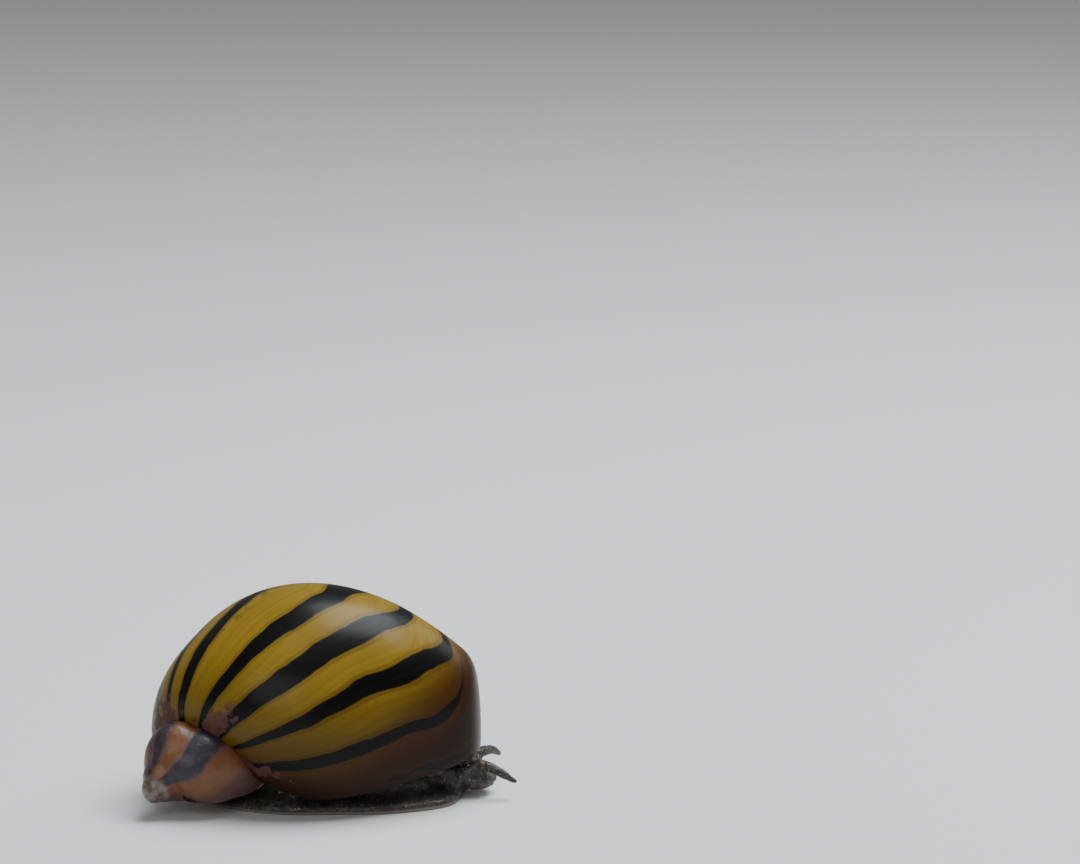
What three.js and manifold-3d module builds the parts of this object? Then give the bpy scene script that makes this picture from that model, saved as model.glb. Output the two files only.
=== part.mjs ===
// A zebra nerite snail (a live neritid with its shell), whole, at rest on a level floor.
// Millimetres, +Z up. The animal heads to -Y, its right side is -X, its left side is +X.
// The origin is the bottom centre of the whole animal's box.
import * as THREE from 'three';
import { ConvexGeometry } from 'three/addons/geometries/ConvexGeometry.js';
import { mergeVertices } from 'three/addons/utils/BufferGeometryUtils.js';
import Module from 'manifold-3d';

const wasm = await Module();
wasm.setup();

const RAD = Math.PI / 180;
const TURN = 2 * Math.PI;

// Driving sizes of the shell: one section that grows as it turns about the coiling axis
const WHORL_GROWTH = 3.018;            // every size is multiplied by this in one full turn
const SECTION_AXIS_DIST = 3.439;       // section centre from the coiling axis, at the reference turn angle
const SECTION_DOWN_AXIS = 10.102;      // section centre below the apex, along the axis
const SECTION_HALF_ACROSS = 3.820;     // half breadth of the section
const SECTION_HALF_ALONG = 6.177;      // half length of the section
const SECTION_LEAN = -0.349;           // lean of the section, radians
const SECTION_COS3 = -0.028;           // threefold corrections of the section's roundness
const SECTION_SIN3 = -0.026;
const SHOULDER_SWELL = -0.0615;        // flattening of the section toward the base shoulder
const SHOULDER_AT = 0.9;
const SHOULDER_WIDTH = 0.5;
const SUTURE_ANGLE = -99.3 * RAD;      // where a whorl meets the one before it
const BASE_ANGLE = 170 * RAD;          // where the outer wall reaches the pillar
const HULL_FROM = -8 * RAD;            // the hull that closes the base starts this far round the section
const HULL_PROUD = 0.04;               // and lies this far outside the coil, so that the two meet cleanly
// how far a growth line lags behind the section plane, from the suture (0) to the base (1.5 half turns)
const LEAD_AT = [0, 0.25, 0.5, 0.75, 0.95, 1.15, 1.5];
const LEAD = [0, -0.107, -0.064, -0.121, 0.235, 0.718, 0.85];
const LIP = 122 * RAD;                 // growth angle of the outer lip
const BODY_WHORL_SWEEP = 352 * RAD;    // the last whorl
const SPIRE_SWEEP = 320 * RAD;         // the worn whorl before it
const FIRST_SWEEP = 300 * RAD;         // and the small ones at the tip
const PILLAR_R = 0.12;                 // least distance of a section from the axis, at the reference angle
const BLUNT_FROM = 20.3;               // ahead of this distance from the apex the front is blunted
const BLUNT_BY = 1.15;                 // and reaches no further than this beyond it
const BLUNT_ROUND = 0.022;             // the blunted front falls back to both sides of BLUNT_MID
const BLUNT_MID = 3.6;
// and the upper front slopes: a plane that the shell passes only softly
const SLOPE_WAY = [0.198, -0.574, 0.794];
const SLOPE_FROM = 20.04;              // its distance from the apex's foot on the floor
const SLOPE_BY = 0.55;
const ERODED_TO = 1.0;                 // the pointed tip is worn away down to this far from the apex
const NUB_DOWN = 1.32;                 // the worn remnant of the first whorls: a low cap about the axis
const NUB_ACROSS = 0.95;
const NUB_ALONG = 0.62;
const BULGE_CENTRE = [1.79, -2.434, 3.3];   // the worn spire is filled out to a dome
const BULGE_HALF = [1.8, 2.24, 2.6];
const SUTURE_WALL = 0.8;               // shell left between the spire and the recess of the mouth
const SPIRE_CORE = [0.5, 4.2, 0.05, 0.2];   // from, to down the axis, and the two radii
const CORE_ROOM = [0.3, 8.7, 0.4, 0.5];
const LIP_BEYOND = 5 * RAD;            // the coil runs this far past the lip, which the plane then cuts
const HULL_SWEEP = 305 * RAD;          // the part of the last whorl whose base is closed by a hull
// the left side of the dome, hidden from the right: an egg-shaped swelling
const LEFT_CENTRE = [8.3, -11.4, 3.2];
const LEFT_HALF = [6.1, 9.4, 7.7];

// Driving sizes of the pose. The apex is at x = y = 0 here, and the whole is centred at the end
const APEX_HEIGHT = 1.7;               // apex above the floor
const SPIRE_FLAT_HEIGHT = 1.05;        // worn flat under the spire, above the floor
const AXIS_AZIMUTH = 127.64 * RAD;     // the apex points this way in plan (90 is back, 180 the right side)
const AXIS_DIP = 18.44 * RAD;          // and this far down
const SPIN = 12.37 * RAD;              // turn of the reference section about the axis
// underside of the shell: a plane that rises to the left side and to the front
const UNDER_AT = [-0.5, -12, 1.3];     // a point of it, x, y and height above the floor
const UNDER_RISE_LEFT = 0.24;          // rise for each millimetre to the left
const UNDER_RISE_FRONT = 0.085;        // and for each millimetre to the front

// The mouth: an oval inside the rim, parted by the pillar's straight edge into the opening and the deck
const MOUTH_CENTRE = [6.85, -11.2];
const MOUTH_HALF = [6.2, 8.95];
const MOUTH_SQUARE = 2.15;             // 2 is an ellipse, more is squarer
const MOUTH_DEPTH = 2.4;               // depth of the recess that the soft body fills
const PILLAR_EDGE_AT = [5.9, -11.2];   // a point of the straight edge
const CORNER_SOFT = 0.3;               // rounding of the corners beside the edge
const DECK_THICK = 0.9;
const DECK_BACK = 0.1;                 // the deck ends this far behind the edge
const TEETH = 9;
const TEETH_SPAN = 7.2;
const TOOTH_LEAST = 0.3;
const TOOTH_SWELL = 0.14;              // the middle teeth are larger by this
const TOOTH_HIGH = 0.42;               // the teeth stand this far inside the underside plane

// Driving sizes of the soft body
const GAP = 0.3;                       // clear gap between neighbouring parts
const MANTLE_BACK = 0.95;              // the mantle keeps this far from the pillar's edge
const MANTLE_WIDE = 0.75;
const MANTLE_DEEP = 1.3;
const MANTLE_PROUD = 0.12;             // how far it shows below the rim
const FOOT_CENTRE = [5.5, -12.0];
const FOOT_HALF_LENGTH = 8.2;
const FOOT_HALF_WIDTH = 4.7;
const FOOT_THICK = 1.05;
const FOOT_MARGIN_THICK = 0.5;
const FOOT_SQUARE = 2.25;
const FOOT_FRONT_WIDER = 0.10;
const FOOT_TAIL_NARROWER = 0.06;
const FOOT_BEVEL = [0.16, 0.10];       // the sole's edge: its height and how far it is set in
// the foot's back, from the margin inward: share of the outline and height
const FOOT_BACK = [[0.985, 0.5], [0.93, 0.66], [0.80, 0.87], [0.62, 1.02], [0.40, 1.05]];
const HEAD_CENTRE = [5.8, -19.9, 1.38];
const HEAD_HALF = [1.75, 1.9, 1.12];
const HEAD_CUT_Y = HEAD_CENTRE[1] + 1.75;   // where the head ends and the column begins
const NECK_FROM = [0, 0.5, 0.15];      // the neck leaves the head here, from the head's centre
const NECK_FROM_HALF = [1.5, 1.2, 0.95];
const NECK_TO = [-0.3, 3.2, 0.92];     // and ends inside the shell's mouth
const NECK_TO_HALF = [1.9, 1.2, 0.9];
const SNOUT_CENTRE = [5.8, -20.9, 1.02];
const SNOUT_HALF = [1.5, 1.35, 0.72];
// the slit of the mouth runs back under the snout; places from the snout's centre, then half sizes
const SLIT_FRONT = [[0, -1.28, -0.60], [0.11, 0.22, 0.5]];
const SLIT_BACK = [[0, -0.55, -0.72], [0.11, 0.22, 0.22]];
// a shallow line runs round the snout under the upper lip
const LIP_LINE_AT = [[-0.8, -0.95, -0.24], [0, -1.33, -0.22], [0.8, -0.95, -0.24]];
const LIP_LINE_HALF = [0.2, 0.2, 0.09];
const LIP_LINE_INSIDE = [[0, 0.1, -0.22], [1.25, 1.12, 0.5]];
const TENTACLE_RADII = [0.42, 0.34, 0.28, 0.17];
const STALK_RADII = [0.44, 0.38, 0.33];
// paths outward from the head's centre: to the side, along Y, up
const TENTACLE_ROOT = [1.15, -0.95, 0.80];
const TENTACLE_RIGHT = [TENTACLE_ROOT, [1.65, -1.80, 0.72], [1.85, -2.65, 0.30], [1.75, -3.45, -0.25]];
const TENTACLE_LEFT = [TENTACLE_ROOT, [1.95, -1.65, 0.85], [2.85, -2.25, 0.62], [3.70, -2.65, 0.15]];
const STALK = [[1.62, -0.05, 0.55], [1.92, -0.15, 0.68], [2.22, -0.25, 0.80]];
const EYE = [2.50, -0.34, 0.93];
const ROOM_DOME = 0.62;                // a room is deeper at its base by the gap
const EYE_R = 0.27;
const EYE_SEAT = 0.15;                 // room round an eye in its stalk
const STALK_SEAT = 0.25;               // room round a stalk in the head
const OPERCULUM_CENTRE = [6.3, -7.2];
const OPERCULUM_HALF = [2.35, 1.7];
const OPERCULUM_TURN = -6 * RAD;
const OPERCULUM_THICK = 0.5;
const OPERCULUM_STRAIGHT = 0.5;        // its straight side lies this far ahead of its centre
const COLUMN_WAIST = 0.45;             // the column's narrowest height, below the underside plane
const COLUMN_SPREAD = [3.45, 6.3];     // half sizes of its base on the foot
const COLUMN_SPREAD_BACK = 0.7;        // the base lies this far ahead of the foot's centre

const HIGH = 40;                       // higher than anything here
const WIDE = 90;                       // wider than anything here

// From three.js shapes to solids
function toManifold(positions, indices) {
  let geo = new THREE.BufferGeometry();
  geo.setAttribute('position', new THREE.Float32BufferAttribute(positions, 3));
  if (indices) geo.setIndex(indices);
  geo = mergeVertices(geo, 1e-3);
  const src = geo.index.array;
  const tri = [];
  for (let i = 0; i < src.length; i += 3) {
    const [a, b, c] = [src[i], src[i + 1], src[i + 2]];
    if (a !== b && b !== c && a !== c) tri.push(a, b, c);
  }
  const vertProperties = new Float32Array(geo.attributes.position.array);
  return new wasm.Manifold(new wasm.Mesh({ numProp: 3, vertProperties, triVerts: new Uint32Array(tri) }));
}

// a closed surface gathered point by point
class Surface {
  constructor() {
    this.places = [];
    this.triangles = [];
  }

  put(v) {
    this.places.push(v.x, v.y, v.z);
    return this.places.length / 3 - 1;
  }

  // the band between two rings of points
  band(a, b) {
    for (let j = 0; j < a.length; j++) {
      const k = (j + 1) % a.length;
      this.triangles.push(a[j], a[k], b[k], a[j], b[k], b[j]);
    }
  }

  // the fan that closes a ring
  fan(tip, ring) {
    for (let j = 0; j < ring.length; j++) {
      this.triangles.push(tip, ring[j], ring[(j + 1) % ring.length]);
    }
  }

  // rings in order, closed by a point at each end
  closed(first, rings, last) {
    for (let i = 1; i < rings.length; i++) this.band(rings[i - 1], rings[i]);
    this.fan(first, [...rings[0]].reverse());
    this.fan(last, rings[rings.length - 1]);
    return toManifold(this.places, this.triangles);
  }
}

function solidOf(geo) {
  return toManifold(geo.attributes.position.array, geo.index ? Array.from(geo.index.array) : null);
}

function largest(solid) {
  const pieces = solid.decompose();
  pieces.sort((a, b) => b.volume() - a.volume());
  return pieces[0];
}

function joined(solids) {
  return solids.reduce((a, b) => a.add(b));
}

function without(solid, rooms) {
  return rooms.reduce((a, b) => a.subtract(b), solid);
}

function box(low, high) {
  const geo = new THREE.BoxGeometry(high[0] - low[0], high[1] - low[1], high[2] - low[2]);
  geo.translate((low[0] + high[0]) / 2, (low[1] + high[1]) / 2, (low[2] + high[2]) / 2);
  return solidOf(geo);
}

function slab(z0, z1) {
  return box([-WIDE / 2, -WIDE / 2, z0], [WIDE / 2, WIDE / 2, z1]);
}

// an upright prism over a closed plan outline
function prism(outline, z0, z1) {
  const shape = new THREE.Shape(outline.map(([x, y]) => new THREE.Vector2(x, y)));
  const geo = new THREE.ExtrudeGeometry(shape, { depth: z1 - z0, bevelEnabled: false, steps: 1 });
  geo.translate(0, 0, z0);
  return solidOf(geo);
}

// a closed ball, stretched to three half sizes
function ball(centre, half, wide, high) {
  const geo = new THREE.SphereGeometry(1, wide, high);
  geo.rotateX(Math.PI / 2);
  geo.scale(half[0], half[1], half[2]);
  geo.translate(centre[0], centre[1], centre[2]);
  return geo;
}

function ellipsoid(centre, half, wide, high) {
  return solidOf(ball(centre, half, wide, high));
}

function pointsOf(geo) {
  const p = geo.attributes.position;
  return Array.from({ length: p.count }, (_, i) => new THREE.Vector3().fromBufferAttribute(p, i));
}

function hull(points) {
  return solidOf(new ConvexGeometry(points));
}

function grown(half, by) {
  return half.map((v) => v + by);
}

// a round tapering body along a curve, closed by a rounded tip and base
function taper(points, radii, round, along, baseDome = 0.35) {
  const tipDome = 0.9;
  const curve = new THREE.CatmullRomCurve3(points.map((p) => new THREE.Vector3(...p)));
  const frames = curve.computeFrenetFrames(along, false);
  const skin = new Surface();
  const rings = [];
  for (let i = 0; i <= along; i++) {
    const k = (i / along) * (radii.length - 1);
    const m = Math.min(Math.floor(k), radii.length - 2);
    const r = radii[m] + (radii[m + 1] - radii[m]) * (k - m);
    const centre = curve.getPointAt(i / along);
    rings.push(Array.from({ length: round }, (_, j) => {
      const t = (TURN * j) / round;
      return skin.put(centre.clone().addScaledVector(frames.normals[i], r * Math.cos(t))
        .addScaledVector(frames.binormals[i], r * Math.sin(t)));
    }));
  }
  const base = curve.getPointAt(0).addScaledVector(frames.tangents[0], -radii[0] * baseDome);
  const tip = curve.getPointAt(1).addScaledVector(frames.tangents[along], radii.at(-1) * tipDome);
  return skin.closed(skin.put(base), rings, skin.put(tip));
}

// The coil
const axisPlan = new THREE.Vector2(Math.cos(AXIS_AZIMUTH), Math.sin(AXIS_AZIMUTH));
const axis = new THREE.Vector3(axisPlan.x, axisPlan.y, -Math.tan(AXIS_DIP)).normalize();
const across1 = new THREE.Vector3(0, 0, 1).addScaledVector(axis, -axis.z).normalize();
across1.applyAxisAngle(axis, SPIN);
const across2 = new THREE.Vector3().crossVectors(axis, across1);

function onAxis(down) {
  return new THREE.Vector3(0, 0, APEX_HEIGHT).addScaledVector(axis, -down);
}

function smoothTable(x, xs, ys) {
  if (x <= xs[0]) return ys[0];
  for (let i = 1; i < xs.length; i++) {
    if (x <= xs[i]) {
      const t = (x - xs[i - 1]) / (xs[i] - xs[i - 1]);
      const k = t * t * (3 - 2 * t) * 0.5 + t * 0.5;
      return ys[i - 1] + k * (ys[i] - ys[i - 1]);
    }
  }
  return ys[ys.length - 1];
}

// psi runs once round the section, from the suture over the outer wall to the base and back inside
function growthLead(psi) {
  const turn = psi - SUTURE_ANGLE;
  const outer = BASE_ANGLE - SUTURE_ANGLE;
  if (turn <= outer) return smoothTable(turn / Math.PI, LEAD_AT, LEAD);
  const t = (turn - outer) / (TURN - outer);
  return smoothTable(outer / Math.PI, LEAD_AT, LEAD) * (1 - t * t * (3 - 2 * t));
}

function sectionRadius(psi) {
  const a = psi - SECTION_LEAN;
  const oval = 1 / Math.hypot(Math.cos(a) / SECTION_HALF_ACROSS, Math.sin(a) / SECTION_HALF_ALONG);
  const shoulder = SHOULDER_SWELL * Math.exp(-(((psi - SHOULDER_AT) / SHOULDER_WIDTH) ** 2));
  return oval * (1 + SECTION_COS3 * Math.cos(3 * a) + SECTION_SIN3 * Math.sin(3 * a) + shoulder);
}

const slopeWay = new THREE.Vector3(...SLOPE_WAY).normalize();

// a point of the shell: growth angle g, place psi round the section, set in by inset mm, t = 1 on the wall
function shellPoint(g, psi, inset, t) {
  const endTilt = 0.05;
  const theta = g - growthLead(psi) * t - (1 - t) * endTilt;
  const scale = Math.pow(WHORL_GROWTH, theta / TURN);
  const rho = (sectionRadius(psi) - inset / scale) * t;
  const least = inset < 0 ? PILLAR_R / 3 : PILLAR_R;
  const r = Math.max(SECTION_AXIS_DIST + rho * Math.cos(psi), least);
  const p = onAxis(scale * (SECTION_DOWN_AXIS + rho * Math.sin(psi)))
    .addScaledVector(across1, scale * r * Math.cos(theta))
    .addScaledVector(across2, -scale * r * Math.sin(theta));
  const from = BLUNT_FROM - BLUNT_ROUND * (p.x - BLUNT_MID) ** 2;
  const over = -p.y - from;
  if (over > 0) p.y = -from - BLUNT_BY * (1 - Math.exp(-over / BLUNT_BY));
  const past = p.dot(slopeWay) - SLOPE_FROM;
  if (past > 0) p.addScaledVector(slopeWay, SLOPE_BY * (1 - Math.exp(-past / SLOPE_BY)) - past);
  return p;
}

// a stretch of the coil between two growth angles, with its two ends closed
function whorl(gStart, gEnd, inset, stepsAlong, stepsRound) {
  const endRings = 3;
  const skin = new Surface();
  const ring = (g, t) => Array.from({ length: stepsRound },
    (_, j) => skin.put(shellPoint(g, SUTURE_ANGLE + (TURN * (stepsRound - j)) / stepsRound, inset, t)));
  const rings = [];
  for (let c = 1; c < endRings; c++) rings.push(ring(gStart, c / endRings));
  for (let i = 0; i <= stepsAlong; i++) rings.push(ring(gStart + ((gEnd - gStart) * i) / stepsAlong, 1));
  for (let c = endRings - 1; c >= 1; c--) rings.push(ring(gEnd, c / endRings));
  const first = skin.put(shellPoint(gStart, 0, inset, 0));
  const last = skin.put(shellPoint(gEnd, 0, inset, 0));
  return skin.closed(first, rings, last);
}

// turned shapes about the coiling axis: a pillar and a flattened ball
function aboutAxis(geo, down) {
  geo.applyQuaternion(new THREE.Quaternion().setFromUnitVectors(new THREE.Vector3(0, 1, 0), axis));
  const mid = onAxis(down);
  geo.translate(mid.x, mid.y, mid.z);
  return solidOf(geo);
}
function pillar([from, to, r0, r1]) {
  return aboutAxis(new THREE.CylinderGeometry(r0, r1, to - from, 10, 1), (from + to) / 2);
}
function cap(across, along) {
  const geo = new THREE.SphereGeometry(1, 16, 12);
  geo.scale(across, along, across);
  return aboutAxis(geo, NUB_DOWN);
}

// Cuts
// keeps what is at least this far down the axis from the apex
function downFrom(solid, far) {
  return solid.trimByPlane([-axis.x, -axis.y, -axis.z], far - axis.z * APEX_HEIGHT);
}
function underHeight(x, y) {
  return UNDER_AT[2] + UNDER_RISE_LEFT * (x - UNDER_AT[0]) - UNDER_RISE_FRONT * (y - UNDER_AT[1]);
}
// keeps what is above (or below) the shell's underside plane, moved up by lift
function cutByUnder(solid, lift, above) {
  const n = new THREE.Vector3(-UNDER_RISE_LEFT, UNDER_RISE_FRONT, 1);
  const len = n.length();
  const offset = (underHeight(0, 0) + lift) / len;
  n.divideScalar(len);
  const dir = above ? [n.x, n.y, n.z] : [-n.x, -n.y, -n.z];
  return solid.trimByPlane(dir, above ? offset : -offset);
}
// a prism between two heights measured from the underside plane
function underPrism(outline, low, high) {
  return cutByUnder(cutByUnder(prism(outline, -5, 20), high, false), low, true);
}

// Plan outlines
function oval(centre, half, square, n) {
  return Array.from({ length: n }, (_, i) => {
    const t = (TURN * i) / n;
    const [c, s] = [Math.cos(t), Math.sin(t)];
    const k = (Math.abs(c) ** square + Math.abs(s) ** square) ** (-1 / square);
    return [centre[0] + half[0] * k * c, centre[1] + half[1] * k * s];
  });
}
// the part of an outline that lies beyond a straight edge, with its two corners rounded
function beyond(outline, at, normal, soft) {
  const reach = 2 * soft;
  const dist = ([x, y]) => (x - at[0]) * normal[0] + (y - at[1]) * normal[1];
  const first = outline.findIndex((p, i) => dist(p) > -reach && dist(outline.at(i - 1)) <= -reach);
  const turned = [...outline.slice(first), ...outline.slice(0, first)];
  return turned.filter((p) => dist(p) > -reach).map((p) => {
    const s = dist(p);
    const rise = soft * Math.log(1 + Math.exp(s / soft)) - s;
    return [p[0] + normal[0] * rise, p[1] + normal[1] * rise];
  });
}
// the shell's mouth, set in from its wall, ahead of the pillar's edge or behind it
const growPlan = [-axisPlan.y, axisPlan.x];
function edgeAt(shift) {
  return [PILLAR_EDGE_AT[0] + growPlan[0] * shift, PILLAR_EDGE_AT[1] + growPlan[1] * shift];
}
function mouthShape(inset, shift, ahead) {
  const whole = oval(MOUTH_CENTRE, MOUTH_HALF.map((v) => v - inset), MOUTH_SQUARE, 64);
  const normal = ahead ? growPlan : growPlan.map((v) => -v);
  return beyond(whole, edgeAt(shift), normal, CORNER_SOFT);
}

// The shell
const SPIRE_END = LIP - BODY_WHORL_SWEEP + 4 * RAD;
const SPIRE_START = LIP - BODY_WHORL_SWEEP - SPIRE_SWEEP;

function dome() {
  const lipEnd = LIP + LIP_BEYOND;
  const coil = cutByUnder(whorl(LIP - BODY_WHORL_SWEEP, lipEnd, 0, 54, 44), 0, true);
  const [along, round] = [50, 22];
  const wall = [];
  for (let i = 0; i <= along; i++) {
    for (let j = 0; j <= round; j++) {
      const g = lipEnd - (HULL_SWEEP * i) / along;
      wall.push(shellPoint(g, HULL_FROM + ((BASE_ANGLE - HULL_FROM) * j) / round, -HULL_PROUD, 1));
    }
  }
  const base = hull([...wall, ...pointsOf(ball(LEFT_CENTRE, LEFT_HALF, 40, 24))]);
  return cutByUnder(base, 0, true).add(coil).intersect(slab(SPIRE_FLAT_HEIGHT, HIGH));
}

// the worn spire's dome, grown by a distance
function bulge(by) {
  return ellipsoid(BULGE_CENTRE, grown(BULGE_HALF, by), 40, 28);
}

function spire(inset) {
  const later = inset < 0 ? 9 * RAD : 0;
  return whorl(SPIRE_START, SPIRE_END + later, inset, 28, 26)
    .add(whorl(SPIRE_START - FIRST_SWEEP, SPIRE_START + 8 * RAD, inset, 18, 18))
    .add(bulge(-inset));
}

const spireRoom = spire(-GAP).add(pillar(CORE_ROOM));
const spireWall = whorl(SPIRE_START, SPIRE_END + 4 * RAD, -GAP - SUTURE_WALL, 28, 26)
  .add(bulge(GAP + SUTURE_WALL));
const softRoom = whorl(SPIRE_START, SPIRE_END + 14 * RAD, -2 * GAP - SUTURE_WALL, 28, 26)
  .add(bulge(2 * GAP + SUTURE_WALL));
const nubRoom = cap(NUB_ACROSS + GAP, NUB_ALONG + GAP);
const mouthRoom = underPrism(mouthShape(0, 0, true), -5, MOUTH_DEPTH).subtract(spireWall);
const deckRoom = underPrism(mouthShape(-GAP, GAP + 0.2, false), -5, DECK_THICK + GAP).subtract(spireWall);

const shellBody = largest(without(dome(), [spireRoom, nubRoom, mouthRoom, deckRoom]));
const shellSpire = largest(downFrom(spire(0).add(pillar(SPIRE_CORE)), ERODED_TO)
  .intersect(slab(SPIRE_FLAT_HEIGHT, HIGH)).subtract(nubRoom));
const shellApex = cap(NUB_ACROSS, NUB_ALONG).intersect(slab(SPIRE_FLAT_HEIGHT, HIGH));

// the pillar's deck, with a row of low teeth along its straight edge
function deckWithTeeth() {
  const plate = underPrism(mouthShape(0, -DECK_BACK, false), 0, DECK_THICK);
  const teeth = Array.from({ length: TEETH }, (_, i) => {
    const along = TEETH_SPAN * (i / (TEETH - 1) - 0.5);
    const size = TOOTH_LEAST + TOOTH_SWELL * Math.sin((Math.PI * (i + 0.6)) / TEETH);
    const [x, y] = edgeAt(-DECK_BACK);
    const at = [x - axisPlan.x * along, y - axisPlan.y * along];
    return ellipsoid([...at, underHeight(...at) + TOOTH_HIGH], [size, size, TOOTH_LEAST], 8, 6);
  });
  return joined([plate, ...teeth]).intersect(slab(SPIRE_FLAT_HEIGHT, HIGH));
}
const deck = largest(deckWithTeeth().subtract(softRoom));

// The soft body
const mantleInset = GAP;
const columnInset = 2 * GAP + MANTLE_WIDE + 0.15;
const mantleRing = underPrism(mouthShape(mantleInset, MANTLE_BACK, true), -MANTLE_PROUD, MANTLE_DEEP)
  .subtract(underPrism(mouthShape(mantleInset + MANTLE_WIDE, MANTLE_BACK + MANTLE_WIDE, true), -5, 10));
const mantle = largest(mantleRing.subtract(softRoom));

// the foot's outline: an oval, wider in front, with a slightly wavy margin
function footEdge(t, setIn) {
  const [c, s] = [Math.cos(t), Math.sin(t)];
  const r = (Math.abs(c) ** FOOT_SQUARE + Math.abs(s) ** FOOT_SQUARE) ** (-1 / FOOT_SQUARE);
  const wave = r * (1 + 0.012 * Math.sin(5 * t + 0.6) + 0.008 * Math.sin(9 * t + 1.9));
  const broad = 1 + FOOT_FRONT_WIDER * Math.max(0, -s) - FOOT_TAIL_NARROWER * Math.max(0, s) ** 2;
  return [(FOOT_HALF_WIDTH - setIn) * broad * wave * c, (FOOT_HALF_LENGTH - setIn) * wave * s];
}

// the foot: a flat sole, a thin margin and a low back, raised by lift
function footSolid(lift) {
  const round = 48;
  const [bevelHigh, bevelIn] = FOOT_BEVEL;
  const skin = new Surface();
  const place = (x, y, z) => skin.put({ x: FOOT_CENTRE[0] + x, y: FOOT_CENTRE[1] + y, z: z + lift });
  const ring = (share, z, setIn) => Array.from({ length: round }, (_, j) => {
    const [x, y] = footEdge((TURN * j) / round, setIn);
    return place(share * x, share * y, z);
  });
  const rings = [ring(1, 0, bevelIn), ring(1, bevelHigh, 0)];
  rings.push(...FOOT_BACK.map(([share, z]) => ring(share, z, 0)));
  return skin.closed(place(0, 0, 0), rings, place(0, 0, FOOT_THICK));
}
const footRim = oval(FOOT_CENTRE, [FOOT_HALF_WIDTH * 0.84, FOOT_HALF_LENGTH + 0.32], 2.4, 32);
const footRoom = joined([footSolid(0), footSolid(GAP), prism(footRim, -0.5, FOOT_MARGIN_THICK + 0.42)]);

// tentacles, eye stalks and eyes, placed from the head's centre; right first, then left
const SIDES = [-1, 1];
function fromHead(sign, [side, y, z]) {
  return [HEAD_CENTRE[0] + sign * side, HEAD_CENTRE[1] + y, HEAD_CENTRE[2] + z];
}
const tentaclePaths = [TENTACLE_RIGHT, TENTACLE_LEFT]
  .map((path, i) => path.map((p) => fromHead(SIDES[i], p)));
const stalkPaths = SIDES.map((sign) => STALK.map((p) => fromHead(sign, p)));
const eyeCentres = SIDES.map((sign) => fromHead(sign, EYE));
const tentacles = tentaclePaths.map((p) => taper(p, TENTACLE_RADII, 12, 12));
const tentacleRooms = tentaclePaths.map((p) => taper(p, grown(TENTACLE_RADII, GAP), 12, 12, ROOM_DOME));
const eyes = eyeCentres.map((p) => ellipsoid(p, Array(3).fill(EYE_R), 14, 10));
const eyeRooms = eyeCentres.map((p) => ellipsoid(p, Array(3).fill(EYE_R + EYE_SEAT), 14, 10));
const stalks = stalkPaths.map((p, i) => {
  const whole = taper(p, STALK_RADII, 12, 5);
  return largest(without(whole, [eyeRooms[i], tentacleRooms[i]]));
});
const stalkRooms = stalkPaths.map((p) => taper(p, grown(STALK_RADII, STALK_SEAT), 12, 5, ROOM_DOME));

// head, snout and neck, with the slit of the mouth and the line under the upper lip
function ballPoints(from, [shift, half], wide, high) {
  return pointsOf(ball(from.map((v, i) => v + shift[i]), half, wide, high));
}
const NO_SHIFT = [0, 0, 0];
const skull = (by) => hull([
  ...ballPoints(HEAD_CENTRE, [NO_SHIFT, grown(HEAD_HALF, by)], 28, 18),
  ...ballPoints(SNOUT_CENTRE, [NO_SHIFT, grown(SNOUT_HALF, by)], 28, 16)]);
const neck = hull([
  ...ballPoints(HEAD_CENTRE, [NECK_FROM, NECK_FROM_HALF], 18, 12),
  ...ballPoints(HEAD_CENTRE, [NECK_TO, NECK_TO_HALF], 18, 12)]);
const mouthSlit = hull([SLIT_FRONT, SLIT_BACK].flatMap((place) => ballPoints(SNOUT_CENTRE, place, 8, 8)));
const lipRing = hull(LIP_LINE_AT.flatMap((at) => ballPoints(SNOUT_CENTRE, [at, LIP_LINE_HALF], 8, 8)));
const lipLine = lipRing.subtract(hull(ballPoints(SNOUT_CENTRE, LIP_LINE_INSIDE, 16, 10)));
const headFront = skull(0).add(neck).trimByPlane([0, -1, 0], -HEAD_CUT_Y).subtract(footRoom);
const headRooms = [mouthSlit, lipLine, ...tentacleRooms, ...stalkRooms];
const head = largest(without(cutByUnder(headFront, -GAP, false), headRooms));

// operculum: a half-moon plate over the foot's tail, close under the deck
function halfMoon(by) {
  const [c, s] = [Math.cos(OPERCULUM_TURN), Math.sin(OPERCULUM_TURN)];
  const whole = oval([0, 0], grown(OPERCULUM_HALF, by), 2.2, 26);
  const flat = beyond(whole, [0, -OPERCULUM_STRAIGHT - by], [0, 1], 0.2);
  return flat.map(([x, y]) => [OPERCULUM_CENTRE[0] + c * x - s * y, OPERCULUM_CENTRE[1] + s * x + c * y]);
}
const operculum = underPrism(halfMoon(0), -GAP - OPERCULUM_THICK, -GAP);
const operculumRoom = underPrism(halfMoon(GAP), -OPERCULUM_THICK - 2 * GAP, 12);
const foot = largest(footSolid(0).subtract(operculumRoom));

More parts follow.
